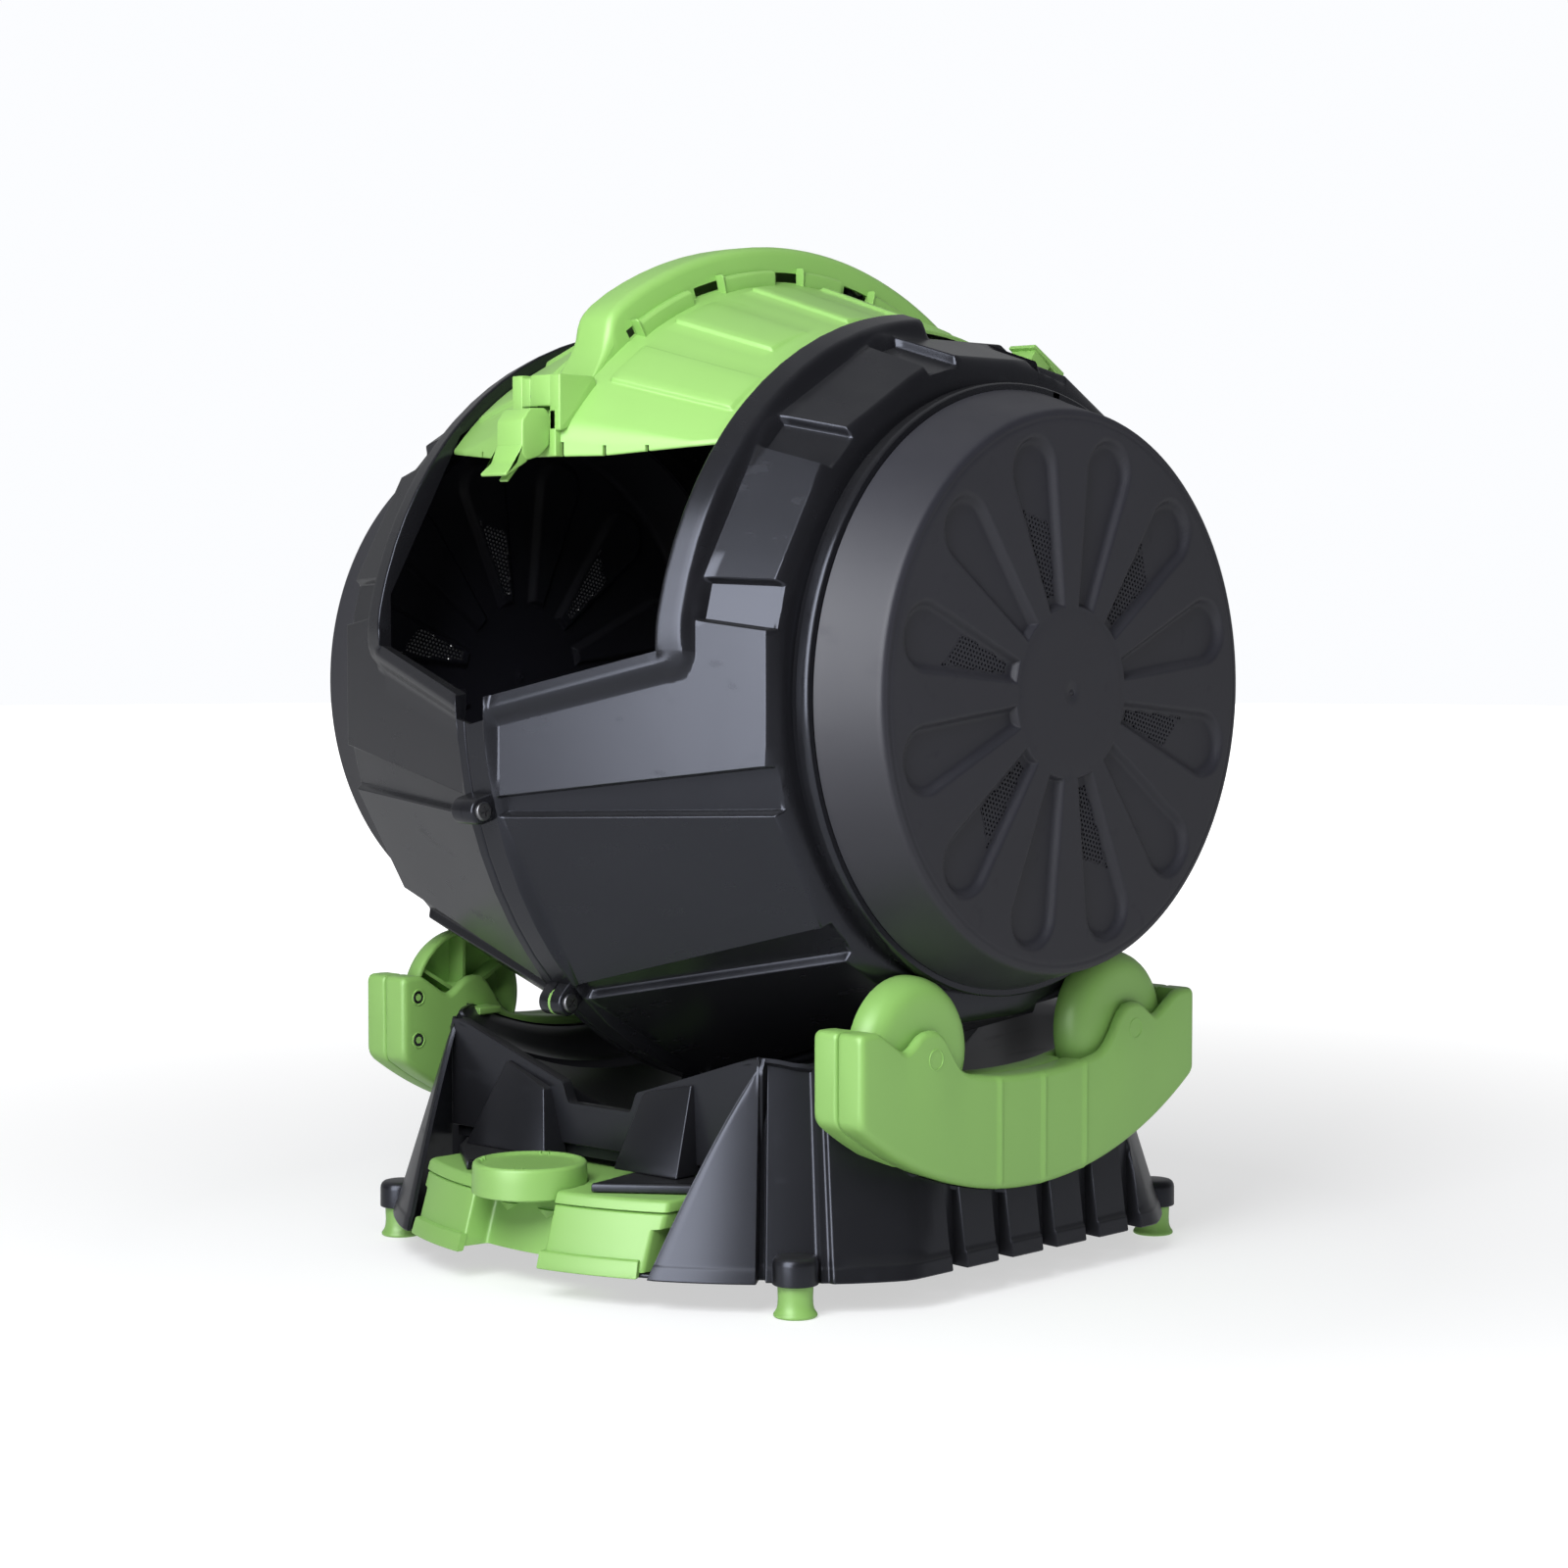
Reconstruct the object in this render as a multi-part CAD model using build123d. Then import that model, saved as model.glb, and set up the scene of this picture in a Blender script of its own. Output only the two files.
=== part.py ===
from build123d import *
import os
from math import sin, cos, tan, radians, degrees, sqrt, hypot, atan2, pi

os.makedirs("parts", exist_ok=True)

# All sizes are in millimetres.
# World frame: X runs along the drum axis, the hatch faces -Y, Z is up, the ground is Z = 0.
# Drum angles are counted up from the front: 0 is the front, 90 the top, 180 the back.

# Drum
SEAM_R = 370.0
SEAM_HALF = 18.0
SEAM_STAND = 11.0
WALL = 4.0
SIDES = 12
DRUM_TAPER = 74.0
FACET_END_W = 268.0
TRACK_DROP = 21.0
TRACK_W = 22.0
SPIGOT_STEP = 8.0
GROUND_GAP = 142.0
CHANNEL_DEPTH = 8.5
CHANNEL_HALF_IN = 6.5
CHANNEL_HALF_OUT = 24.0
CHANNEL_SHY = 8.0

AXIS_Z = SEAM_R + GROUND_GAP
FACET_IN_A = SEAM_R - SEAM_STAND
FACET_END_A = FACET_IN_A - DRUM_TAPER
TRACK_R = FACET_END_A - TRACK_DROP
TRACK_END_W = FACET_END_W + TRACK_W
SPIGOT_R = TRACK_R - SPIGOT_STEP
CHANNEL_END_W = FACET_END_W - CHANNEL_SHY
FAR_R = SEAM_R + 100.0
NEAR_R = SEAM_R - 170.0

# Seam bolts
BOSS_STAND = 11.0
BOSS_R = 11.5
BOSS_W = 14.0
BOLT_R = 3.0
BOLT_HEAD_R = 8.2
BOLT_HEAD_H = 3.4
SPACER_W = 1.5
BOSS_PITCH_R = SEAM_R + BOSS_STAND

# End caps
CAP_DEPTH = 60.5
CAP_STEP = 6.0
CAP_TAPER = 18.0
CAP_FIT = 0.3
PETAL_DEPTH = 5.0
PETAL_RIM = 20.0
PETAL_HUB_R = 75.0
PETAL_OUT_HALF = 27.0
PETAL_IN_HALF = 10.0
VENT_R = 1.9
VENT_PITCH = 8.4
VENT_REACH = 91.0
CAP_FACE_W = TRACK_END_W + CAP_DEPTH
CAP_ROOT_R = TRACK_R - CAP_STEP
CAP_FACE_R = CAP_ROOT_R - CAP_TAPER
PETAL_OUT_R = CAP_FACE_R - PETAL_RIM

# Hatch and rails
HATCH_HALF = 175.0
HATCH_LOW_MID = -1.0
HATCH_LOW_SIDE = 6.5
HATCH_TOP_Y = 38.0
NOTCH_HALF = 13.0
NOTCH_DEEP = 19.0
RAIL_W = 26.0
RAIL_DROP = 45.0
RAIL_TOP_ANGLE = 87.0
LIP_RISE = 9.5
LIP_EDGE_RISE = 4.0
LIP_CREST = 9.0
LIP_DROP = 26.0
GROOVE_DEPTH = 6.0
BED_START_ANGLE = 78.0
BED_END_ANGLE = 174.0
BED_GAP = 4.0
SEAM_START_ANGLE = 102.0
RAIL_R = SEAM_R - RAIL_DROP
RAIL_OUT_W = HATCH_HALF + RAIL_W

# Door
DOOR_T = 3.6
DOOR_SUNK = 14.0
DOOR_SLOPE = -0.2265
DOOR_SIDE_GAP = 1.4
DOOR_LEAD_MID = 33.5
DOOR_LEAD_SIDE = 41.0
DOOR_TRAIL = 123.0
DOOR_RAKE = 0.32
DOOR_FACE_RAKE = 0.317
DOOR_LIP_T = 3.2
TONGUE_T = 4.4
RUN_GAP = 0.8
FIN_STAND = 44.0
FIN_HALF = 23.5
FIN_T = 3.0
FIN_FRONT = 56.0
CURB_STAND = 20.0
CURB_W = 9.0
CURBS = ((57.2, 68.5), (75.2, 85.2), (91.2, 99.0), (106.2, 114.0))
WINDOWS = (72.9, 89.2, 103.5)
WINDOW_SPAN = 5.0
PAD_RISE = 2.6
PAD_FROM = (47.3, 62.4, 78.6, 93.0)
PAD_SPAN = 8.6
PAD_IN_W = 40.0
PAD_SHY = 31.0
CLIP_W = 30.0
CLIP_STAND = 33.0
DOOR_R_MID = SEAM_R - DOOR_SUNK
DOOR_HALF = HATCH_HALF - DOOR_SIDE_GAP
FIN_R = DOOR_R_MID + FIN_STAND
CURB_R = DOOR_R_MID + CURB_STAND
PAD_OUT_W = DOOR_HALF - PAD_SHY

# Latch
LATCH_STAND = 28.0
LATCH_LEAD = 7.5
LATCH_PIN_R = 2.5
PIN_GAP = 0.05
LEVER_HALF = 16.5
LEVER_GAP = 0.6
CHEEK_W = 12.4
FRAME_AHEAD = 3.39152
FRAME_BEHIND = 37.80848
FRAME_OVER = 18.07333
HEAD_BEHIND = 12.80848
LIP_AHEAD = 5.19152
LIP_UNDER = 51.92667
LATCH_PIVOT_R = DOOR_R_MID + LATCH_STAND
LATCH_PIVOT_A = DOOR_LEAD_MID + LATCH_LEAD
CHEEK_IN = LEVER_HALF + LEVER_GAP
CHEEK_OUT = CHEEK_IN + CHEEK_W
# The frame's faces and the door's upright lip are set out from the latch pivot.
PIVOT_U = LATCH_PIVOT_R * cos(radians(LATCH_PIVOT_A))
PIVOT_V = LATCH_PIVOT_R * sin(radians(LATCH_PIVOT_A))
FRAME_FACE = PIVOT_U + FRAME_AHEAD
FRAME_BACK = PIVOT_U - FRAME_BEHIND
FRAME_TOP = PIVOT_V + FRAME_OVER
HEAD_FACE = PIVOT_U - HEAD_BEHIND
DOOR_FACE = PIVOT_U + LIP_AHEAD
DOOR_FACE_LOW = PIVOT_V - LIP_UNDER

# Rollers
ROLLER_Y = 135.7
ROLLER_Z = 211.2
ROLL_GAP = 0.3
ROLLER_W = 29.0
ROLLER_SHY = 6.0
HUB_R = 13.0
AXLE_R = 6.0
AXLE_GAP = 0.05
ROLLER_R = hypot(ROLLER_Y, AXIS_Z - ROLLER_Z) - TRACK_R - ROLL_GAP
ROLLER_IN_X = FACET_END_W + ROLLER_SHY
ROLLER_OUT_X = ROLLER_IN_X + ROLLER_W

# Roller brackets
BRACKET_IN_GAP = 14.0
BRACKET_OUT_GAP = 12.0
BRACKET_PLATE = 5.0
BRACKET_END = 90.3
BRACKET_TOP = 26.8
BRACKET_ARC_R = 378.0
BRACKET_LOW_Z = 85.0
BRACKET_SCREW_R = 2.5
SCREW_HEAD_R = 5.0
BRACKET_IN_X = ROLLER_IN_X - BRACKET_IN_GAP
BRACKET_OUT_X = ROLLER_OUT_X + BRACKET_OUT_GAP
BRACKET_MID_X = (BRACKET_IN_X + BRACKET_OUT_X) / 2
BRACKET_END_Y = ROLLER_Y + BRACKET_END
BRACKET_TOP_Z = ROLLER_Z + BRACKET_TOP
AXLE_LENGTH = BRACKET_OUT_X - BRACKET_IN_X - 4
SCREW_LENGTH = BRACKET_OUT_X - BRACKET_IN_X - 8

# Base
BASE_Y = 6.0
BASE_MARGIN = 40.0
BASE_SLOPE = 0.313
BASE_LOW_Z = 27.0
BASE_TOP_Z = 208.0
SIDE_FLAT_IN = 2.0
SIDE_SLOPE = 0.14
FLUTE_PITCH = 60.0
FLUTE_W = 18.0
FLUTE_DEPTH = 14.0
FLUTE_SLOPE = 0.03
FLUTE_MID_Y = 20.0
DECK_GAP = 58.0
DECK_MID_HALF = 50.0
DECK_STEP = 16.0
DECK_STEP_W = 7.0
DECK_SLOPE = -0.262
RECESS_BACK = 127.0
RECESS_FRONT = 31.0
RECESS_FRONT_HALF = 152.0
RECESS_FLARE = 44.0
PANEL_IN = 12.0
PANEL_LIFT = 24.0
PANEL_LOW_W = 98.0
PANEL_TOP_W = 59.0
PANEL_H = 54.0
PANEL_IN_H = 35.0
PANEL_RISE = 5.0
FOOT_IN = 5.0
FOOT_ANGLE = 46.0
FOOT_PANEL = 8.0
CUP_R = 19.5
CUP_H = 24.0
FOOT_R = 15.0
FOOT_PEG_R = 12.0
BASE_R = BRACKET_OUT_X + BASE_MARGIN
SIDE_FLAT_X = BRACKET_OUT_X - SIDE_FLAT_IN
DECK_MID_R = SEAM_R + DECK_GAP
DECK_IN_R = DECK_MID_R - DECK_STEP
RECESS_BACK_Y = BASE_Y - BASE_R + RECESS_BACK
RECESS_FRONT_Y = BASE_Y - BASE_R + RECESS_FRONT
RECESS_BACK_HALF = RECESS_FRONT_HALF + RECESS_FLARE
FOOT_RADIUS_AT = BASE_R - FOOT_IN

# Tank
TANK_GAP = 5.0
TANK_LENGTH = 229.0
SHELF_T = 3.0
SHELF_GAP = 0.6
SHELF_IN = 9.0
TANK_H = 51.4
TANK_LID_H = 10.0
TANK_T = 3.0
TANK_INSET = 7.0
PLINTH_Z = 48.0
GRIP_HALF = 45.0
GRIP_DEPTH = 24.0
CAP_IN = 45.0
CAP_R = 50.0
CAP_H = 24.0
NECK_R = 42.0
NECK_H = 14.0
TANK_HALF = RECESS_FRONT_HALF - TANK_GAP
TANK_BACK_Y = BASE_Y - BASE_R + TANK_LENGTH
TANK_FLOOR_Z = BASE_LOW_Z + SHELF_T + SHELF_GAP
TANK_PART_Z = TANK_FLOOR_Z + TANK_H
TANK_TOP_Z = TANK_PART_Z + TANK_LID_H
CAP_Y = BASE_Y - BASE_R + CAP_IN
CAP_TOP_Z = TANK_TOP_Z + CAP_H

AXIS = Plane(origin=(0, 0, AXIS_Z), x_dir=(0, -1, 0), z_dir=(-1, 0, 0))
FACET_SLOPE = (FACET_END_A - FACET_IN_A) / (FACET_END_W - SEAM_HALF)


def left(shape):
    """Put a piece made about its own Z axis onto the drum axis, reaching towards -X."""
    return AXIS.location * shape


def right(shape):
    """Mirror image of the left piece on the +X side."""
    return mirror(left(shape), about=Plane.YZ)


def save(shape, name):
    solids = shape.solids()
    export_step(Compound(solids) if len(solids) > 1 else solids[0], "parts/" + name + ".step")


def facet_a(w):
    return FACET_IN_A + FACET_SLOPE * (w - SEAM_HALF)


def corner_r(w):
    return facet_a(w) / cos(pi / SIDES)


def frustum(offset, w0, w1):
    """Twelve sided frustum whose flats lie at facet_a + offset."""
    turn = 180 / SIDES
    low = Pos(0, 0, w0) * RegularPolygon(facet_a(w0) + offset, SIDES, major_radius=False, rotation=turn)
    high = Pos(0, 0, w1) * RegularPolygon(facet_a(w1) + offset, SIDES, major_radius=False, rotation=turn)
    return loft([low.face(), high.face()], ruled=True)


def ring(r_out, r_in, w0, w1):
    return Pos(0, 0, (w0 + w1) / 2) * (Cylinder(r_out, w1 - w0) - Cylinder(r_in, w1 - w0))


def turned(points, a0=0.0, a1=360.0):
    """Turn a closed outline of (radius, w) points about the axis from angle a0 to a1."""
    outline = make_face(Polyline(*[(r, 0, w) for r, w in points], close=True))
    part = revolve(outline, Axis.Z, a1 - a0)
    return Rot(0, 0, a0) * part


def tube(w0, w1, a0, a1):
    """Thick sector about the axis that reaches past the wall of the drum on both sides."""
    return turned([(NEAR_R, w0), (FAR_R, w0), (FAR_R, w1), (NEAR_R, w1)], a0, a1)


def polar(r, a):
    return (r * cos(radians(a)), r * sin(radians(a)))


def slab(points, w0, w1):
    """Prism along the axis from a list of (radius, angle) corners."""
    outline = make_face(Polyline(*[polar(r, a) for r, a in points], close=True))
    return Pos(0, 0, w0) * extrude(outline, w1 - w0, dir=(0, 0, 1))


def low_edge(w, mid, side, r_mid, r_side):
    """Height above the axis of a hatch edge that runs straight from the seam to the side."""
    v0 = r_mid * sin(radians(mid))
    v1 = r_side * sin(radians(side))
    return v0 + (v1 - v0) * w / HATCH_HALF


def front_prism(points, u0, u1):
    """Prism along the front direction from (w, height) corners."""
    face_plane = Plane(origin=(u0, 0, 0), x_dir=(0, 0, 1), z_dir=(1, 0, 0))
    outline = make_face(face_plane * Polyline(*[(w, -v) for w, v in points], close=True))
    return extrude(outline, u1 - u0, dir=(1, 0, 0))


def upright_prism(points, v0, v1):
    """Prism upwards from (w, distance in front of the axis) corners."""
    return Rot(0, 0, 90) * front_prism([(w, -u) for w, u in points], v0, v1)


def side_slab(points, w0, w1):
    """Prism along the axis from (distance in front of the axis, height) corners."""
    return slab([(hypot(u, v), degrees(atan2(v, u))) for u, v in points], w0, w1)


# Door lines shared by the door and the bed it slides over
def door_r(w):
    return DOOR_R_MID + DOOR_SLOPE * w


def skin_r(w):
    """Radius of the door skin, which rises more steeply to the middle than the bed below it."""
    return door_r(DOOR_HALF) + DOOR_RAKE * (DOOR_HALF - w)


def face_u(w):
    """Distance of the door's upright lip in front of the axis."""
    return DOOR_FACE - DOOR_FACE_RAKE * w


def bed_r(w):
    return door_r(w) - DOOR_T - BED_GAP


TONGUE_R = door_r(DOOR_HALF) - DOOR_T + 0.2
BED_OUT_W = HATCH_HALF + GROOVE_DEPTH + 2.0


# Half shell
def channel(angle, w0, grow):
    """Tapered channel along one corner of the shell, widened by grow on every side."""
    faces = []
    for w in (w0 - grow, CHANNEL_END_W + grow):
        k = (w - SEAM_HALF) / (CHANNEL_END_W - SEAM_HALF)
        half = CHANNEL_HALF_IN + (CHANNEL_HALF_OUT - CHANNEL_HALF_IN) * k + grow
        floor = corner_r(w) - half * tan(pi / SIDES) - CHANNEL_DEPTH - grow
        top = corner_r(w) + 30
        pts = [(floor, -half), (top, -half - 2), (top, half + 2), (floor, half)]
        faces.append(Pos(0, 0, w) * make_face(Polyline(*pts, close=True)))
    return Rot(0, 0, angle) * loft(faces, ruled=True)


bolt_angles = [15 + 30 * k for k in range(-6, 6) if not -1 < 15 + 30 * k < SEAM_START_ANGLE]
spacer_angles = (-45, -105, -165)


def hatch_lip(v_mid, v_side):
    """Ridge on the front flat along the lower edge of the hatch, sloping away below its crest."""
    along = Vector(FACET_SLOPE * HATCH_HALF, v_side - v_mid, HATCH_HALF).normalized()
    out = Vector(1, 0, -FACET_SLOPE).normalized()
    down = along.cross(out)
    if down.Y > 0:
        down = down * -1
    rise = (v_side - v_mid) / HATCH_HALF
    start = Vector(facet_a(SEAM_HALF), v_mid + rise * SEAM_HALF, SEAM_HALF)
    length = (RAIL_OUT_W - SEAM_HALF) / along.Z
    plane = Plane(origin=start, x_dir=down, z_dir=down.cross(out))
    far = 1 if plane.z_dir.Z > 0 else -1
    ridge = [(-2, -3), (-2, LIP_EDGE_RISE), (LIP_CREST, LIP_RISE), (LIP_CREST + 2, LIP_RISE)]
    ridge += [(LIP_DROP, 0), (LIP_DROP, -3)]
    return extrude(make_face(plane * Polyline(*ridge, close=True)), far * length)


def half_shell():
    outer = frustum(0, SEAM_HALF, FACET_END_W)
    hollow = frustum(-WALL - 0.2, SEAM_HALF - 8, FACET_END_W - WALL)
    shell = outer - hollow
    flange_in = bed_r(SEAM_HALF) - 6
    shell += ring(SEAM_R, SEAM_R - 5, 0, SEAM_HALF)
    shell += ring(SEAM_R, flange_in, SEAM_HALF - 4, SEAM_HALF)
    pans = []
    cuts = []
    for k in range(SIDES):
        angle = 15 + 30 * k
        start = RAIL_OUT_W + 2 if angle < BED_END_ANGLE else SEAM_HALF
        pans.append(channel(angle, start, 3.4) & outer)
        cuts.append(channel(angle, start, 0))
    shell = shell + pans
    shell = shell - cuts
    shell += ring(TRACK_R, SPIGOT_R, FACET_END_W - WALL, TRACK_END_W)
    shell -= Pos(0, 0, FACET_END_W) * Cylinder(SPIGOT_R, 30)
    # The bed is a smooth sunk cone behind the hatch for the door to slide over.
    clear = tube(SEAM_HALF, BED_OUT_W, BED_START_ANGLE, BED_END_ANGLE)
    clear += tube(-1, SEAM_HALF + 1, BED_START_ANGLE, SEAM_START_ANGLE)
    shell = shell - clear
    w0 = SEAM_HALF - 4
    w1 = BED_OUT_W + 4
    bed = [(bed_r(0), 0), (bed_r(w1), w1), (bed_r(w1) - WALL, w1), (bed_r(0) - WALL, 0)]
    bed = turned(bed, BED_START_ANGLE, BED_END_ANGLE)
    bed -= tube(-1, w0, SEAM_START_ANGLE, BED_END_ANGLE + 2)
    shell += bed
    side = [(bed_r(w1) - 2, BED_OUT_W), (FAR_R, BED_OUT_W), (FAR_R, w1), (bed_r(w1) - 2, w1)]
    shell += turned(side, BED_START_ANGLE, BED_END_ANGLE) & outer
    back = [(bed_r(w0) - 3, w0), (FAR_R, w0), (FAR_R, w1), (bed_r(w1) - 3, w1)]
    shell += turned(back, BED_END_ANGLE - 0.7, BED_END_ANGLE) & outer
    step = [(bed_r(0) - 3, 0), (SEAM_R, 0), (SEAM_R, SEAM_HALF), (bed_r(w0) - 3, SEAM_HALF)]
    shell += turned(step, SEAM_START_ANGLE, SEAM_START_ANGLE + 0.7)
    # The raised lip under the hatch and the two rails beside it.
    v_mid = low_edge(0, HATCH_LOW_MID, HATCH_LOW_SIDE, SEAM_R, RAIL_R)
    v_side = low_edge(HATCH_HALF, HATCH_LOW_MID, HATCH_LOW_SIDE, SEAM_R, RAIL_R)
    shell += hatch_lip(v_mid, v_side)
    mouth = [(-1, v_mid), (HATCH_HALF, v_side), (HATCH_HALF, FAR_R), (-1, FAR_R)]
    shell -= front_prism(mouth, HATCH_TOP_Y, FAR_R)
    v_low = v_mid - NOTCH_DEEP
    notch = [(-1, v_low), (NOTCH_HALF, v_low), (NOTCH_HALF, FAR_R), (-1, FAR_R)]
    shell -= front_prism(notch, HATCH_TOP_Y, FAR_R)
    rail = [(NEAR_R, HATCH_HALF), (RAIL_R, HATCH_HALF), (RAIL_R, RAIL_OUT_W), (NEAR_R, RAIL_OUT_W)]
    shell += turned(rail, HATCH_LOW_SIDE - 2, RAIL_TOP_ANGLE) - hollow
    g0 = TONGUE_R - RUN_GAP
    g1 = TONGUE_R + TONGUE_T + RUN_GAP
    gw = HATCH_HALF + GROOVE_DEPTH
    groove = [(g0, HATCH_HALF - 2), (g1, HATCH_HALF - 2), (g1, gw), (g0, gw)]
    shell -= turned(groove, HATCH_LOW_SIDE - 0.5, RAIL_TOP_ANGLE + 2)
    # Bolt bosses along the seam.
    posts = []
    holes = []
    for a in bolt_angles:
        start = SPACER_W if a in spacer_angles else 0
        boss = Pos(BOSS_PITCH_R, 0, (start + BOSS_W) / 2) * Cylinder(BOSS_R, BOSS_W - start)
        web = Pos((SEAM_R - 4 + BOSS_PITCH_R) / 2, 0, (start + BOSS_W) / 2)
        web = web * Box(BOSS_PITCH_R - SEAM_R + 4, 2 * BOSS_R, BOSS_W - start)
        posts.append(Rot(0, 0, a) * (boss + web))
        spot = Rot(0, 0, a) * Pos(BOSS_PITCH_R, 0, 0)
        holes.append(spot * Pos(0, 0, BOSS_W / 2) * Cylinder(BOLT_R + PIN_GAP, BOSS_W + 2))
        if start:
            holes.append(spot * Cylinder(BOSS_R, 2 * SPACER_W))
    shell = shell + posts
    shell = shell - holes
    # The latch hook drops into a slot in the seam below the hatch.
    slot_w = LEVER_HALF + 1
    slot = [(SEAM_R - 12, -1), (SEAM_R + 4, -1), (SEAM_R + 4, slot_w), (SEAM_R - 12, slot_w)]
    shell -= turned(slot, HATCH_LOW_MID - 8.0, HATCH_LOW_MID - 3.5)
    return shell


shell = half_shell()
save(left(shell), "drum_half_left")
save(right(shell), "drum_half_right")


# Seam bolts, nuts and spacers
def seam_bolts():
    bolts = []
    nuts = []
    spacers = []
    for a in bolt_angles:
        at = AXIS.location * Rot(0, 0, a) * Pos(BOSS_PITCH_R, 0, 0)
        shank = Cylinder(BOLT_R, 2 * BOSS_W + 4)
        head = Pos(0, 0, -BOSS_W - BOLT_HEAD_H / 2) * Cylinder(BOLT_HEAD_R, BOLT_HEAD_H)
        head = fillet(head.edges().sort_by(Axis.Z)[:1], 1.8)
        cross = Box(9, 1.6, 2.6) + Box(1.6, 9, 2.6)
        bolts.append(at * (shank + head - Pos(0, 0, -BOSS_W - BOLT_HEAD_H) * cross))
        nut = extrude(RegularPolygon(6.0, 6), 3.4) - Cylinder(BOLT_R, 20)
        nuts.append(at * Pos(0, 0, BOSS_W) * nut)
        if a in spacer_angles:
            spacers.append(at * (Cylinder(BOSS_R, 2 * SPACER_W) - Cylinder(BOLT_R + PIN_GAP, 10)))
    return bolts, nuts, spacers


bolts, nuts, spacers = seam_bolts()
save(Compound(bolts), "seam_bolts")
save(Compound(nuts), "seam_nuts")
save(Compound(spacers), "seam_spacers")


# End caps
def end_cap():
    lip = CAP_FACE_R + 1.5
    out = [(0, CAP_FACE_W), (CAP_FACE_R - 8, CAP_FACE_W), (CAP_FACE_R - 1, CAP_FACE_W - 2.5)]
    out += [(lip, CAP_FACE_W - 8), (CAP_ROOT_R, TRACK_END_W), (SPIGOT_R - CAP_FIT, TRACK_END_W)]
    out.append((SPIGOT_R - CAP_FIT, TRACK_END_W - 20))
    back = [(SPIGOT_R - 5, TRACK_END_W - 20), (SPIGOT_R - 5, TRACK_END_W), (lip - 4, CAP_FACE_W - 9)]
    back += [(CAP_FACE_R - 9, CAP_FACE_W - WALL), (0, CAP_FACE_W - WALL)]
    cap = turned(out + back)
    pads = []
    cuts = []
    for k in range(SIDES):
        for grow, depth, keep in ((3.4, PETAL_DEPTH + WALL, pads), (0, PETAL_DEPTH, cuts)):
            far = Pos(PETAL_OUT_R - PETAL_OUT_HALF, 0) * Circle(PETAL_OUT_HALF + grow)
            near = Pos(PETAL_HUB_R + PETAL_IN_HALF, 0) * Circle(PETAL_IN_HALF + grow)
            outline = make_hull((far.edges() + near.edges()))
            top = CAP_FACE_W - 1 if grow else CAP_FACE_W + 5
            height = top - (CAP_FACE_W - depth)
            piece = Pos(0, 0, CAP_FACE_W - depth) * extrude(outline, height, dir=(0, 0, 1))
            keep.append(Rot(0, 0, 15 + 30 * k) * piece)
    cap = cap + pads
    cap = cap - cuts
    vents = []
    spread = (PETAL_OUT_HALF - PETAL_IN_HALF) / (PETAL_OUT_R - PETAL_OUT_HALF - PETAL_HUB_R)
    for k in range(0, SIDES, 2):
        r = PETAL_HUB_R + 12
        while r < PETAL_HUB_R + VENT_REACH:
            half = 0.72 * (PETAL_IN_HALF + (r - PETAL_HUB_R) * spread)
            n = int(2 * half / VENT_PITCH) + 1
            for i in range(n):
                y = (i - (n - 1) / 2) * VENT_PITCH
                hole = Pos(r, y, CAP_FACE_W - PETAL_DEPTH) * Cylinder(VENT_R, 14)
                vents.append(Rot(0, 0, 15 + 30 * k) * hole)
            r += VENT_PITCH * 0.87
    cap = cap - vents
    return cap - Pos(0, 0, CAP_FACE_W) * Cylinder(2.5, 2)


cap = end_cap()
save(left(cap), "end_cap_left")
save(right(cap), "end_cap_right")


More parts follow.
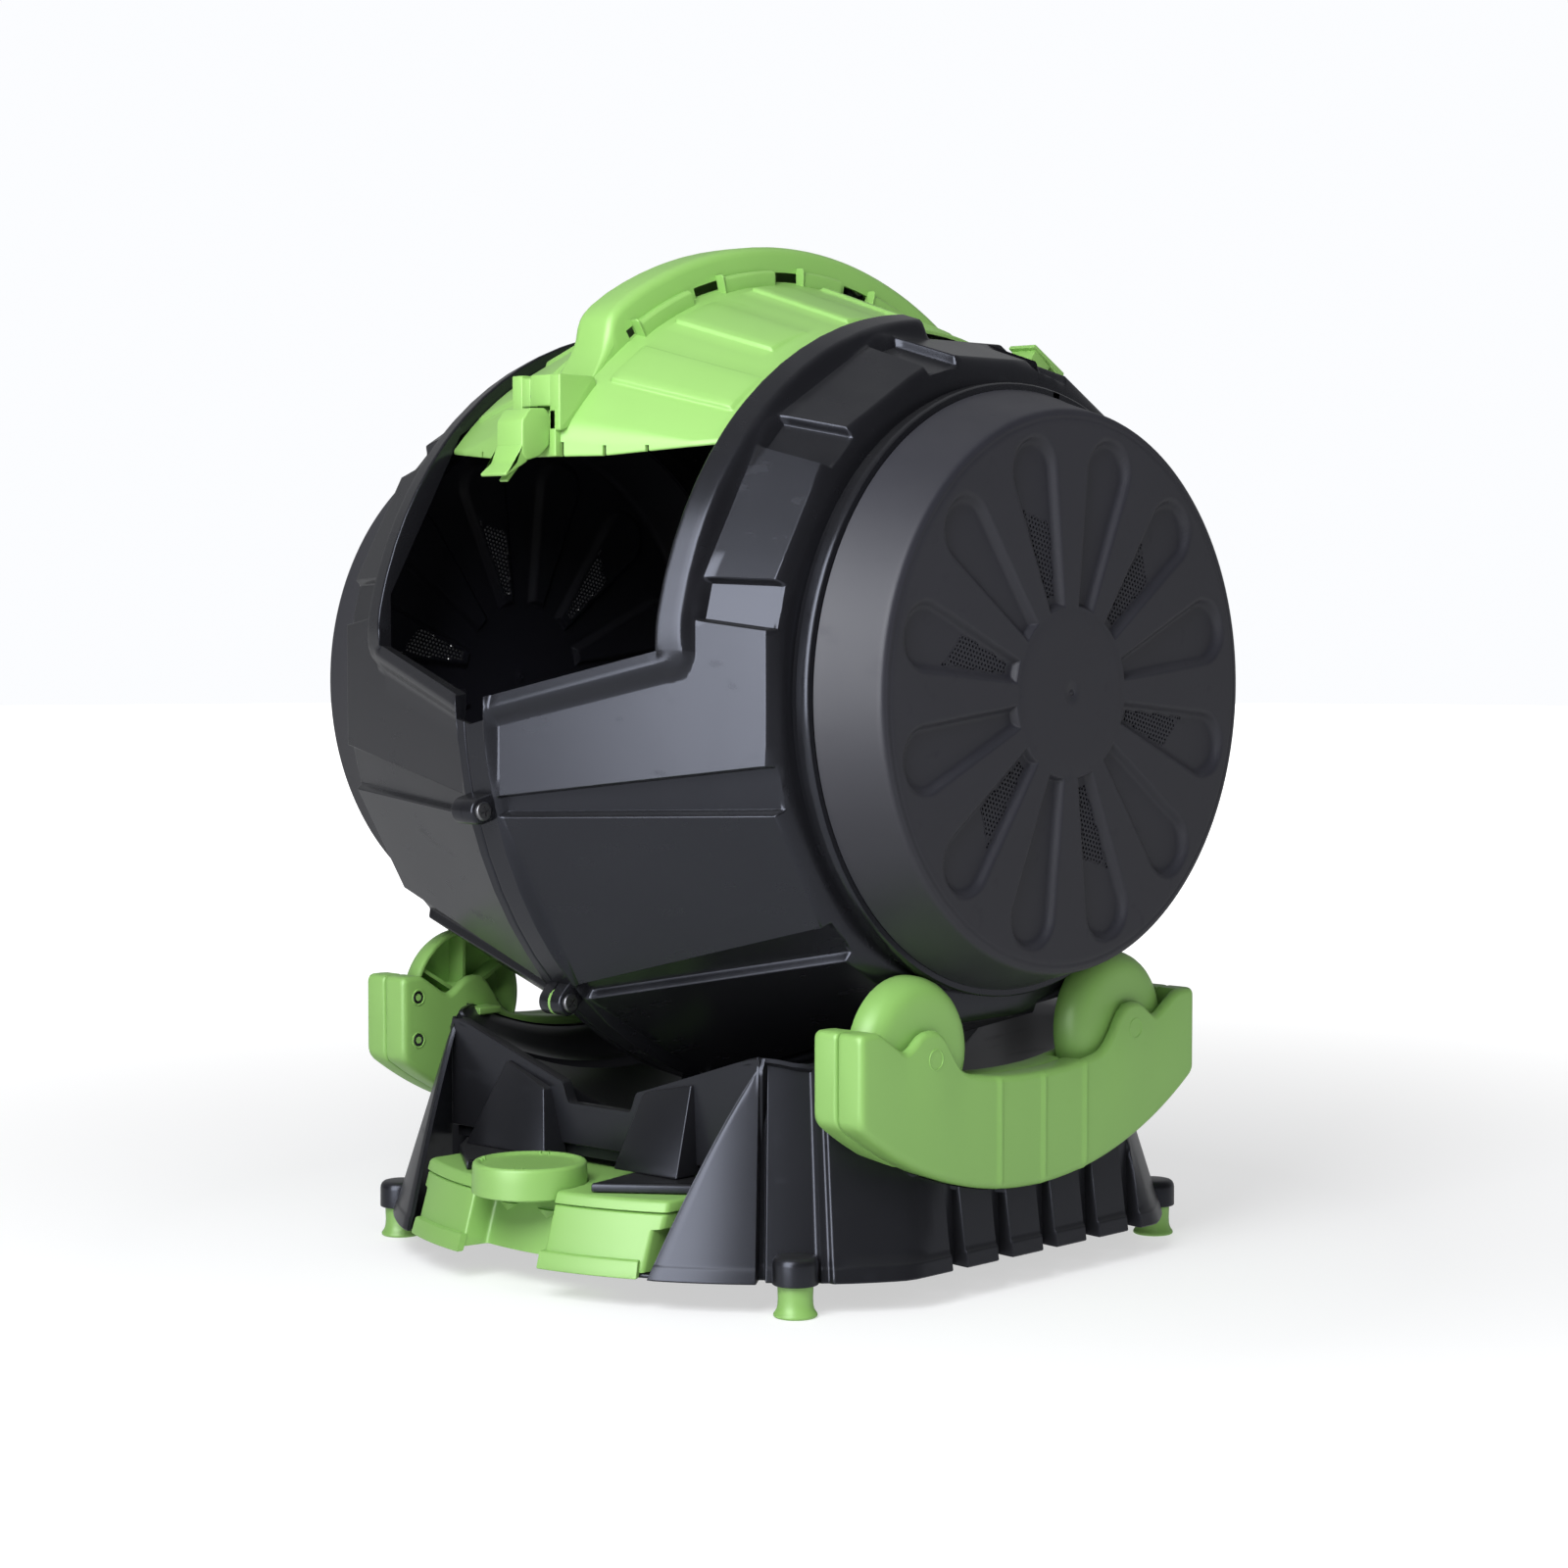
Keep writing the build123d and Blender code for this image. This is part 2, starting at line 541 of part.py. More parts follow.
# Door halves: a thin cone with a fin over the seam, pads on the skin and a tongue in the rail
def door_half():
    w1 = DOOR_HALF
    skin = [(skin_r(0), 0), (skin_r(w1), w1), (skin_r(w1) - DOOR_T, w1), (skin_r(0) - DOOR_T, 0)]
    door = turned(skin, DOOR_LEAD_MID - 3, DOOR_TRAIL)
    t0 = [(TONGUE_R, w1 - 2), (TONGUE_R + TONGUE_T, w1 - 2)]
    tip_w = HATCH_HALF + GROOVE_DEPTH - RUN_GAP
    t1 = [(TONGUE_R + TONGUE_T, tip_w), (TONGUE_R, tip_w)]
    door += turned(t0 + t1, DOOR_LEAD_SIDE + 1, DOOR_TRAIL - 1)
    for a in PAD_FROM:
        r0 = skin_r(PAD_IN_W)
        r1 = skin_r(PAD_OUT_W)
        pad = [(r0 - 1, PAD_IN_W), (r0 + PAD_RISE, PAD_IN_W)]
        pad += [(r1 + PAD_RISE, PAD_OUT_W), (r1 - 1, PAD_OUT_W)]
        door += turned(pad, a, a + PAD_SPAN)
    # The skin is open under the fin, so that the fin clears the seam bolts.
    inner = FIN_HALF - FIN_T
    door -= tube(-1, inner, FIN_FRONT, DOOR_TRAIL + 1)
    fin = [(FIN_R, 0), (FIN_R, FIN_HALF), (skin_r(FIN_HALF) - DOOR_T, FIN_HALF)]
    fin.append((skin_r(inner) - DOOR_T, inner))
    fin += [(FIN_R - FIN_T - 0.5, inner), (FIN_R - FIN_T - 0.5, 0)]
    door += turned(fin, FIN_FRONT - 1, DOOR_TRAIL)
    low = skin_r(FIN_HALF)
    rise = FIN_R - low
    nose = [(low - 1, FIN_FRONT - 8.6), (low + 0.15 * rise, FIN_FRONT - 6.4)]
    nose += [(low + 0.32 * rise, FIN_FRONT - 4), (low + 0.6 * rise, FIN_FRONT - 2.3)]
    nose += [(low + 0.78 * rise, FIN_FRONT - 1.5), (FIN_R, FIN_FRONT - 0.9)]
    nose += [(FIN_R, FIN_FRONT), (low - 1, FIN_FRONT)]
    door += slab(nose, 0, FIN_HALF)
    for a0, a1 in CURBS:
        curb = [(skin_r(FIN_HALF + CURB_W) - 1, FIN_HALF - 1), (CURB_R, FIN_HALF - 1)]
        curb += [(CURB_R, FIN_HALF + CURB_W - 2), (CURB_R - 3, FIN_HALF + CURB_W)]
        curb += [(skin_r(FIN_HALF + CURB_W) - 1, FIN_HALF + CURB_W)]
        door += turned(curb, a0, a1)
    for a in WINDOWS:
        cut = [(low + 0.5, inner - 1), (CURB_R - 5, inner - 1)]
        cut += [(CURB_R - 5, FIN_HALF + 0.4), (low + 0.5, FIN_HALF + 0.4)]
        door -= turned(cut, a - WINDOW_SPAN / 2, a + WINDOW_SPAN / 2)
    # The skin ends in an upright lip whose face runs back from the middle to the sides.
    far_w = w1 + 20
    ahead = [(-1, face_u(-1)), (far_w, face_u(far_w)), (far_w, FAR_R), (-1, FAR_R)]
    door -= upright_prism(ahead, 0, FAR_R)
    lip = [(0, face_u(0)), (w1, face_u(w1)), (w1, face_u(w1) - DOOR_LIP_T), (0, face_u(0) - DOOR_LIP_T)]
    under = turned([(NEAR_R, 0), (skin_r(0), 0), (skin_r(w1), w1), (NEAR_R, w1)], 20, 60)
    door += upright_prism(lip, DOOR_FACE_LOW, DOOR_FACE_LOW + 60) & under
    # Its lower edge rises to the sides, like the lower edge of the hatch.
    tilt = (DOOR_LEAD_MID + DOOR_LEAD_SIDE) / 2
    v0 = door_r(0) * sin(radians(DOOR_LEAD_MID - tilt))
    v1 = door_r(w1) * sin(radians(DOOR_LEAD_SIDE - tilt))
    v2 = v1 + (v1 - v0) * 20 / w1
    nip = front_prism([(-1, v0), (w1 + 20, v2), (w1 + 20, -NEAR_R), (-1, -NEAR_R)], NEAR_R, FAR_R)
    return door - Rot(0, 0, tilt) * nip


door = door_half()
save(left(door), "door_left")
save(right(door), "door_right")

# Rear clips that stand on the trailing edge of the door
def rear_clip():
    w0 = DOOR_HALF - CLIP_W - 4
    w1 = DOOR_HALF - 4
    foot = skin_r(w0)
    head = foot + CLIP_STAND
    a = DOOR_TRAIL
    outline = [(foot - 1, a - 5), (head, a - 4), (head + 3, a + 4), (head - 2, a + 4)]
    outline += [(head - 5, a - 1), (foot - 1, a - 1)]
    under = [(NEAR_R, w0 - 2), (skin_r(w0 - 2), w0 - 2), (skin_r(w1 + 2), w1 + 2), (NEAR_R, w1 + 2)]
    return slab(outline, w0, w1) - turned(under, a - 17, a + 13)


clip = rear_clip()
save(Compound([left(clip).solid(), right(clip).solid()]), "door_clips")


# Latch: an upright frame on the door and a lever that hangs from it
def latch_points(points):
    """Turn (height over the door, degrees past the pivot) into (radius, angle)."""
    return [(DOOR_R_MID + h, LATCH_PIVOT_A + a) for h, a in points]


def latch_hole(r):
    return Rot(0, 0, LATCH_PIVOT_A) * Pos(LATCH_PIVOT_R, 0, 0) * Cylinder(r, 8 * CHEEK_OUT)


def latch_frame():
    side = [(FRAME_FACE, DOOR_FACE_LOW), (FRAME_FACE, FRAME_TOP - 2), (FRAME_FACE - 2, FRAME_TOP)]
    side += [(FRAME_BACK, FRAME_TOP), (FRAME_BACK, DOOR_FACE_LOW)]
    cheeks = side_slab(side, -CHEEK_OUT, -CHEEK_IN) + side_slab(side, CHEEK_IN, CHEEK_OUT)
    head = [(HEAD_FACE, DOOR_FACE_LOW), (HEAD_FACE, FRAME_TOP)]
    head += [(FRAME_BACK, FRAME_TOP), (FRAME_BACK, DOOR_FACE_LOW)]
    frame = cheeks + side_slab(head, -CHEEK_IN - 1, CHEEK_IN + 1)
    reach = CHEEK_OUT + 14
    cone = [(0, -reach), (skin_r(reach), -reach), (skin_r(0), 0)]
    cone += [(skin_r(reach), reach), (0, reach)]
    frame -= turned(cone, LATCH_PIVOT_A - 21, LATCH_PIVOT_A + 19)
    return frame - latch_hole(LATCH_PIN_R)


def latch_lever():
    arm = [(36, -0.4), (40.5, -3.0), (37, -6.2), (25, -9.0), (35, -12.8), (31, -13.1), (21, -11.0)]
    arm += [(17.4, -12.2), (17, -10.8), (18, -7.6), (20, -3.4), (20.5, 0.4), (27, 1.4), (34, 0.9)]
    return slab(latch_points(arm), -LEVER_HALF, LEVER_HALF) - latch_hole(LATCH_PIN_R + PIN_GAP)


save(left(latch_frame()), "latch_frame")
save(left(latch_lever()), "latch_lever")
pin = Rot(0, 0, LATCH_PIVOT_A) * Pos(LATCH_PIVOT_R, 0, 0) * Cylinder(LATCH_PIN_R, 2 * CHEEK_OUT)
save(left(pin), "latch_pin")


# Rollers
def roller():
    """Roller about the X axis, solid outer face, open inner face with six ribs."""
    r = ROLLER_R
    x0 = ROLLER_IN_X
    x1 = ROLLER_OUT_X
    out = [(AXLE_R + AXLE_GAP, x1 + 1.5), (HUB_R, x1 + 1.5), (HUB_R + 2, x1), (r - 10, x1 - 0.5)]
    out += [(r - 4, x1 - 3.5), (r - 1, x1 - 7), (r, x1 - 11), (r, x0 + 3), (r - 1.5, x0), (r - 5, x0)]
    out += [(r - 5, x1 - 9), (r - 10, x1 - 5)]
    out += [(HUB_R, x1 - 5), (HUB_R, x0 - 3), (AXLE_R + AXLE_GAP, x0 - 3)]
    wheel = turned(out)
    ribs = []
    for k in range(6):
        span = r - 4 - HUB_R + 2
        rib = Pos(HUB_R - 1 + span / 2, 0, (x0 + 4 + x1 - 4) / 2) * Box(span, 3.5, x1 - x0 - 8)
        ribs.append(Rot(0, 0, 60 * k + 30) * rib)
    return wheel + ribs


along_x = Plane(origin=(0, 0, 0), x_dir=(0, -1, 0), z_dir=(-1, 0, 0))
wheel = along_x.location * roller()
for side, make in (("left", lambda p: p), ("right", lambda p: mirror(p, about=Plane.YZ))):
    for end, y in (("front", -ROLLER_Y), ("back", ROLLER_Y)):
        save(make(Pos(0, y, ROLLER_Z) * wheel), "roller_" + side + "_" + end)
axle = Pos(BRACKET_MID_X, 0, 0) * Rot(0, 90, 0) * Cylinder(AXLE_R, AXLE_LENGTH)
axles = [Pos(0, y, ROLLER_Z) * axle for y in (-ROLLER_Y, ROLLER_Y)]
save(Compound(axles + [mirror(a, about=Plane.YZ) for a in axles]), "roller_axles")


# Roller brackets
def bracket_outline(shrink):
    """Side view of a bracket in (y, z): a curved bottom, upright ends and two humps for the axles."""
    e = BRACKET_END_Y - shrink
    t = shrink
    zc = BRACKET_LOW_Z + BRACKET_ARC_R
    rr = BRACKET_ARC_R - shrink
    y = ROLLER_Y
    z = ROLLER_Z - t
    top = [(e, z + BRACKET_TOP), (y + 71.3 - t, z + BRACKET_TOP), (y + 44.3 - t, z + 7.8)]
    top += [(y + 28.3 + t, z + 7.8), (y + 14, z + 21.8), (y - 8, z + 21.8), (y - 23.7, z - 1.2)]
    top += [(y - 37.7, z - 15.2), (y - 51.7, z - 20.2)]
    top.append((0, z - 28.2))
    pts = top + [(-y, z) for y, z in reversed(top[:-1])]
    ze = zc - sqrt(rr * rr - e * e)
    bottom = ThreePointArc((-e, ze), (0, zc - rr), (e, ze))
    rim = Polyline((e, ze), *pts, (-e, ze))
    return make_face(bottom.edges() + rim.edges())


def upright(outline, x0, x1):
    """Prism along X of an outline drawn in (y, z)."""
    plane = Plane(origin=(x0, 0, 0), x_dir=(0, 1, 0), z_dir=(1, 0, 0))
    return extrude(plane * outline, x1 - x0, dir=(1, 0, 0))


screw_spots = [(BRACKET_END_Y - 18, ROLLER_Z + 6.8), (BRACKET_END_Y - 18, ROLLER_Z - 33.2)]
screw_spots.append((ROLLER_Y - 63.7, BRACKET_LOW_Z + 27))
screw_spots += [(-y, z) for y, z in screw_spots]


def bracket_half(outer):
    x0 = BRACKET_MID_X if outer else BRACKET_IN_X
    x1 = BRACKET_OUT_X if outer else BRACKET_MID_X
    body = upright(bracket_outline(0), x0, x1)
    c0 = x0 - 1 if outer else x0 + BRACKET_PLATE
    c1 = x1 - BRACKET_PLATE if outer else x1 + 1
    body -= upright(bracket_outline(4.5), c0, c1)
    slot = (ROLLER_IN_X - 4.0, ROLLER_OUT_X + 2.5)
    bosses = []
    for y in (-ROLLER_Y, ROLLER_Y):
        spin = Pos((slot[0] + slot[1]) / 2, y, ROLLER_Z) * Rot(0, 90, 0)
        body -= spin * Cylinder(ROLLER_R + 4, slot[1] - slot[0])
        ends = (slot[1], c1 + 1) if outer else (c0 - 1, slot[0])
        bosses.append((y, ROLLER_Z, AXLE_R + 6, ends[0], ends[1]))
    for y, z in screw_spots:
        bosses.append((y, z, 6.5, x0 if outer else c0 - 1, c1 + 1 if outer else x1))
    for y, z, r, b0, b1 in bosses:
        body += Pos((b0 + b1) / 2, y, z) * Rot(0, 90, 0) * Cylinder(r, b1 - b0)
    for y in (-ROLLER_Y, ROLLER_Y):
        body -= Pos(BRACKET_MID_X, y, ROLLER_Z) * Rot(0, 90, 0) * Cylinder(AXLE_R, AXLE_LENGTH)
    for y, z in screw_spots:
        spot = Pos(BRACKET_IN_X + SCREW_LENGTH / 2, y, z) * Rot(0, 90, 0)
        body -= spot * Cylinder(BRACKET_SCREW_R, SCREW_LENGTH)
        body -= Pos(BRACKET_IN_X + 1.5, y, z) * Rot(0, 90, 0) * Cylinder(SCREW_HEAD_R + 0.2, 3.0)
    if outer:
        for k in (-1, 0, 1):
            body -= Pos(BRACKET_OUT_X, k * FLUTE_PITCH * 0.9, ROLLER_Z) * Box(2.4, 2.0, 2 * ROLLER_Z)
    else:
        for y in (-1, 1):
            body += Pos(BRACKET_IN_X - 10, y * ROLLER_Y, BASE_TOP_Z - 7) * Box(20, 28, 7)
    return body


inner_half = bracket_half(False)
outer_half = bracket_half(True)
save(inner_half, "bracket_inner_right")
save(outer_half, "bracket_outer_right")
save(mirror(inner_half, about=Plane.YZ), "bracket_inner_left")
save(mirror(outer_half, about=Plane.YZ), "bracket_outer_left")
screws = []
for y, z in screw_spots:
    spot = Pos(BRACKET_IN_X + SCREW_LENGTH / 2, y, z) * Rot(0, 90, 0)
    screw = spot * Cylinder(BRACKET_SCREW_R, SCREW_LENGTH)
    screw += Pos(BRACKET_IN_X + 1.6, y, z) * Rot(0, 90, 0) * Cylinder(SCREW_HEAD_R, 2.8)
    screws.append(screw)
save(Compound(screws + [mirror(s, about=Plane.YZ) for s in screws]), "bracket_screws")


# Base: a round tapered tub with a saddle deck, a recess for the tank and pockets for the brackets
def base_cone(offset, z0, z1):
    r0 = BASE_R + offset - BASE_SLOPE * (z0 - BASE_LOW_Z)
    r1 = BASE_R + offset - BASE_SLOPE * (z1 - BASE_LOW_Z)
    return Pos(0, BASE_Y, z0) * Cone(r0, r1, z1 - z0, align=(Align.CENTER, Align.CENTER, Align.MIN))


def both(shape):
    return [shape, mirror(shape, about=Plane.YZ)]


def cone_sector(r_drop, angle, half):
    """Outer part of the cone wall, r_drop thick, between two upright planes."""
    wall = base_cone(2, BASE_LOW_Z - 5, BASE_TOP_Z + 5)
    wall -= base_cone(-r_drop, BASE_LOW_Z - 6, BASE_TOP_Z + 6)
    reach = 2 * BASE_R
    tri = [(0, 0), (reach * sin(radians(angle - half)), -reach * cos(radians(angle - half)))]
    tri.append((reach * sin(radians(angle + half)), -reach * cos(radians(angle + half))))
    wedge = extrude(make_face(Polyline(*tri, close=True)), 2 * BASE_TOP_Z, dir=(0, 0, 1))
    return wall & (Pos(0, BASE_Y, 0) * wedge)


def side_cut(x, lean, y, width):
    """Everything outside an upright plane at x that leans in by lean, over a width about y."""
    low = BASE_LOW_Z - 40
    high = BASE_TOP_Z + 90
    edge = [x - lean * (z - BASE_LOW_Z) for z in (low, high)]
    outline = [(edge[0], low), (2 * BASE_R, low), (2 * BASE_R, high), (edge[1], high)]
    plane = Plane(origin=(0, y - width / 2, 0), x_dir=(1, 0, 0), z_dir=(0, -1, 0))
    return extrude(plane * make_face(Polyline(*outline, close=True)), width, dir=(0, 1, 0))


def deck_r(w):
    return DECK_IN_R + DECK_SLOPE * (w - DECK_MID_HALF)


def tub(t, z0, z1):
    """The tub body with every outside face moved in by t."""
    body = base_cone(-t, z0, z1)
    cuts = both(side_cut(SIDE_FLAT_X - t, SIDE_SLOPE, BASE_Y, 4 * BASE_R))
    for k in range(-2, 3):
        y = FLUTE_MID_Y + k * FLUTE_PITCH
        cuts += both(side_cut(SIDE_FLAT_X - FLUTE_DEPTH - t, FLUTE_SLOPE, y, FLUTE_W + 2 * t))
    pocket = Pos(BRACKET_IN_X - t + 100, 0, BRACKET_LOW_Z + BRACKET_ARC_R) * Rot(0, 90, 0)
    pocket = pocket * Cylinder(BRACKET_ARC_R + t, 200)
    cuts += both(pocket)
    end = BASE_R + 65
    step_w = DECK_MID_HALF + t
    deck = [(0, 0), (DECK_MID_R + t, 0), (DECK_MID_R + t, step_w), (DECK_IN_R + t, step_w + DECK_STEP_W)]
    deck += [(deck_r(end) + t, end), (0, end)]
    bowl = AXIS.location * turned(deck)
    cuts += both(bowl)
    dx = (RECESS_BACK_HALF - RECESS_FRONT_HALF) / (RECESS_BACK_Y - RECESS_FRONT_Y)
    beyond = RECESS_FRONT_HALF - dx * 62
    y = RECESS_FRONT_Y - 62
    plan = [(RECESS_BACK_HALF + t, RECESS_BACK_Y + t), (beyond + t, y), (-beyond - t, y)]
    plan.append((-RECESS_BACK_HALF - t, RECESS_BACK_Y + t))
    recess = extrude(make_face(Polyline(*plan, close=True)), BASE_TOP_Z + 100, dir=(0, 0, 1))
    cuts.append(Pos(0, 0, -20) * recess)
    for a in (FOOT_ANGLE, -FOOT_ANGLE, 180 - FOOT_ANGLE, FOOT_ANGLE - 180):
        cuts.append(cone_sector(FOOT_PANEL + t, a, 4.6 + degrees(t / BASE_R)))
    return body - cuts


def across(r, reach, w0, w1):
    """Outline of a cut that reaches both sides of radius r."""
    return [(r - reach, w0), (r + reach, w0), (r + reach, w1), (r - reach, w1)]


def grip(grow):
    """Hand recess in the middle of the tank front, with its walls moved out by grow."""
    block = Box(2 * (GRIP_HALF + grow), BASE_R, 4 * TANK_TOP_Z)
    back = base_cone(-GRIP_DEPTH - grow, BASE_LOW_Z - 20, 3 * TANK_TOP_Z)
    return Pos(0, BASE_Y - BASE_R, 0) * block - back


def raised_panel():
    """Raised four-sided panel on the back wall of the recess, beside the middle channel."""
    x = DECK_MID_HALF + PANEL_IN
    low = TANK_TOP_Z + PANEL_LIFT
    corners = [(x, low), (x + PANEL_LOW_W, low), (x + PANEL_TOP_W, low + PANEL_H)]
    corners.append((x + 2, low + PANEL_IN_H))
    plane = Plane(origin=(0, RECESS_BACK_Y + WALL / 2, 0), x_dir=(1, 0, 0), z_dir=(0, -1, 0))
    face = plane * make_face(Polyline(*corners, close=True))
    return extrude(face, PANEL_RISE + WALL / 2, dir=(0, -1, 0))


def foot_spots():
    spots = []
    for a in (FOOT_ANGLE, -FOOT_ANGLE, 180 - FOOT_ANGLE, FOOT_ANGLE - 180):
        spots.append((FOOT_RADIUS_AT * sin(radians(a)), BASE_Y - FOOT_RADIUS_AT * cos(radians(a))))
    return spots


def base_shell():
    base = tub(0, BASE_LOW_Z, BASE_TOP_Z) - tub(WALL, BASE_LOW_Z - 10, BASE_TOP_Z - WALL)
    shelf_y = (BASE_Y - BASE_R, TANK_BACK_Y + 25)
    shelf = Box(2 * TANK_HALF + 126, shelf_y[1] - shelf_y[0], SHELF_T)
    shelf = Pos(0, (shelf_y[0] + shelf_y[1]) / 2, BASE_LOW_Z + SHELF_T / 2) * shelf
    base += (shelf & base_cone(-SHELF_IN, BASE_LOW_Z - 1, BASE_LOW_Z + 40)) - grip(SHELF_IN)
    base += both(raised_panel())
    mouth_z = (BASE_LOW_Z + SHELF_T, TANK_TOP_Z + TANK_GAP)
    mouth = Box(2 * TANK_HALF + 2 * TANK_GAP, 40, mouth_z[1] - mouth_z[0])
    base -= Pos(0, RECESS_BACK_Y, (mouth_z[0] + mouth_z[1]) / 2) * mouth
    # Drain slots in the deck.
    base -= AXIS.location * turned(across(DECK_MID_R, 25, -40, 40), -72, -68)
    w = BRACKET_IN_X - 54
    for piece in both(AXIS.location * turned(across(deck_r(w), 40, w - 10, w + 10), -112, -68)):
        base -= piece
    cups = []
    holes = []
    for x, y in foot_spots():
        cup = Pos(x, y, BASE_LOW_Z + CUP_H / 2) * Cylinder(CUP_R, CUP_H)
        cups.append(fillet(cup.edges().sort_by(Axis.Z)[-1:], 5))
        holes.append(Pos(x, y, BASE_LOW_Z + 8) * Cylinder(FOOT_PEG_R, 18))
    base = base + cups
    return base - holes


base = base_shell()
save(base, "base_shell")

feet = []
for x, y in foot_spots():
    flare = FOOT_R + 3.5
    outline = [(0, 0), (flare, 0), (flare, 2.5), (FOOT_R, 9), (FOOT_R, BASE_LOW_Z)]
    outline += [(FOOT_PEG_R, BASE_LOW_Z), (FOOT_PEG_R, BASE_LOW_Z + 15), (0, BASE_LOW_Z + 15)]
    feet.append(Pos(x, y, 0) * turned(outline))
save(Compound(feet), "feet")


# Tank for the liquid: body, lid and cap
def tank_box(shrink, z0, z1):
    y0 = BASE_Y - BASE_R - 70
    y1 = TANK_BACK_Y - shrink
    return Pos(0, (y0 + y1) / 2, (z0 + z1) / 2) * Box(2 * (TANK_HALF - shrink), y1 - y0, z1 - z0)


def tank_body():
    top = TANK_TOP_Z + 30
    upper = tank_box(0, TANK_FLOOR_Z, TANK_PART_Z) & base_cone(-TANK_INSET, BASE_LOW_Z - 5, top)
    plinth = tank_box(0, BASE_LOW_Z, PLINTH_Z) & base_cone(-2, BASE_LOW_Z - 5, top)
    # The plinth hangs a little in front of the shelf that the tank stands on.
    plinth -= Pos(0, BASE_Y, 0) * Cylinder(BASE_R - 6.5, 2 * TANK_FLOOR_Z)
    body = upper + plinth - grip(0)
    hollow = tank_box(TANK_T, TANK_FLOOR_Z + TANK_T, top)
    hollow = hollow & base_cone(-TANK_INSET - TANK_T, BASE_LOW_Z - 5, top + 10)
    return body - (hollow - grip(TANK_T))


def tank_lid():
    z0 = TANK_PART_Z
    lid = tank_box(-2.0, z0, TANK_TOP_Z) & base_cone(-TANK_INSET, z0 - 5, TANK_TOP_Z + 5)
    lid -= tank_box(2.0, z0 - 1, TANK_TOP_Z - TANK_T) & base_cone(-TANK_INSET - 5, z0 - 5, TANK_TOP_Z + 5)
    neck = Cylinder(NECK_R, NECK_H + 4) - Cylinder(NECK_R - 3.5, NECK_H + 40)
    lid -= Pos(0, CAP_Y, TANK_TOP_Z) * Cylinder(NECK_R - 3.5, 40)
    lid += Pos(0, CAP_Y, TANK_TOP_Z + NECK_H - (NECK_H + 4) / 2) * neck
    return lid - Pos(0, TANK_BACK_Y - 30, TANK_TOP_Z) * Box(120, 26, 20)


def tank_cap():
    z0 = TANK_TOP_Z + 0.4
    cap = Pos(0, CAP_Y, (z0 + CAP_TOP_Z) / 2) * Cylinder(CAP_R, CAP_TOP_Z - z0)
    cap = fillet(cap.edges().sort_by(Axis.Z)[-1:], 4)
    room = CAP_H - 4
    cap -= Pos(0, CAP_Y, TANK_TOP_Z + room / 2) * Cylinder(NECK_R + 0.4, room)
    return cap - Pos(0, CAP_Y, CAP_TOP_Z) * Cylinder(CAP_R - 7, 2.4)


save(tank_body(), "tank_body")
save(tank_lid(), "tank_lid")
save(tank_cap(), "tank_cap")
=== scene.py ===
"""Compost tumbler: green and black moulded plastic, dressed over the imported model."""
import math
import bmesh
import bpy
import numpy as np
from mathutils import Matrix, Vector


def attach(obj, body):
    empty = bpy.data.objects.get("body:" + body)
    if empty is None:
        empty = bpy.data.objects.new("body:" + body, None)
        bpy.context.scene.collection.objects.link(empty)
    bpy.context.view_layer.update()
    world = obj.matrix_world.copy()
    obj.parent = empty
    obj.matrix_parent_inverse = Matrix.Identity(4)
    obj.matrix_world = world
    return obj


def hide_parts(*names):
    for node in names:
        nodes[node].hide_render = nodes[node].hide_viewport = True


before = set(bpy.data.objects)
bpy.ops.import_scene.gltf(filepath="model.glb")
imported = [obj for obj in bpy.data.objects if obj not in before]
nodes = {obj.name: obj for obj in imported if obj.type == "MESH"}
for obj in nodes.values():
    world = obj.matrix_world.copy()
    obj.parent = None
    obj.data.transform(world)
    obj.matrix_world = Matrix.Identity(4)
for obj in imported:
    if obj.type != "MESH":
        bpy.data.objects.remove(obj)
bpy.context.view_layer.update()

MM = 0.001
AXIS_Z = 512.0
SEAM_R = 370.0
RAIL_R = 325.0
TRACK_R = 264.0
HATCH_HALF = 175.0


# Tools for working out surfaces
def ease(t):
    """Smooth step: 0 up to t = 0, 1 from t = 1, and 3t^2 - 2t^3 between."""
    t = np.clip(t, 0.0, 1.0)
    return t * t * (3.0 - 2.0 * t)


def steps(knots, counts):
    """Values from knot to knot, each span cut into its own number of equal steps."""
    spans = [np.linspace(a, b, n, endpoint=False) for a, b, n in zip(knots[:-1], knots[1:], counts)]
    return np.concatenate(spans + [np.array([knots[-1]], float)])


def spread(knots, counts):
    """Rows of a grid: from each row of knots to the next in its own number of equal steps,
    then the last row."""
    rows = [knots[i] + (knots[i + 1] - knots[i]) * (np.arange(n) / n)[:, None] for i, n in enumerate(counts)]
    return np.concatenate(rows + [knots[-1][None]])


def drum_point(r, phi, x):
    """Point at radius r and angle phi (0 is the front, 90 the top) about the drum axis, at x along it."""
    a = np.radians(phi)
    r, a, x = np.broadcast_arrays(r, a, x)
    return np.stack([x, -r * np.cos(a), AXIS_Z + r * np.sin(a)], -1)


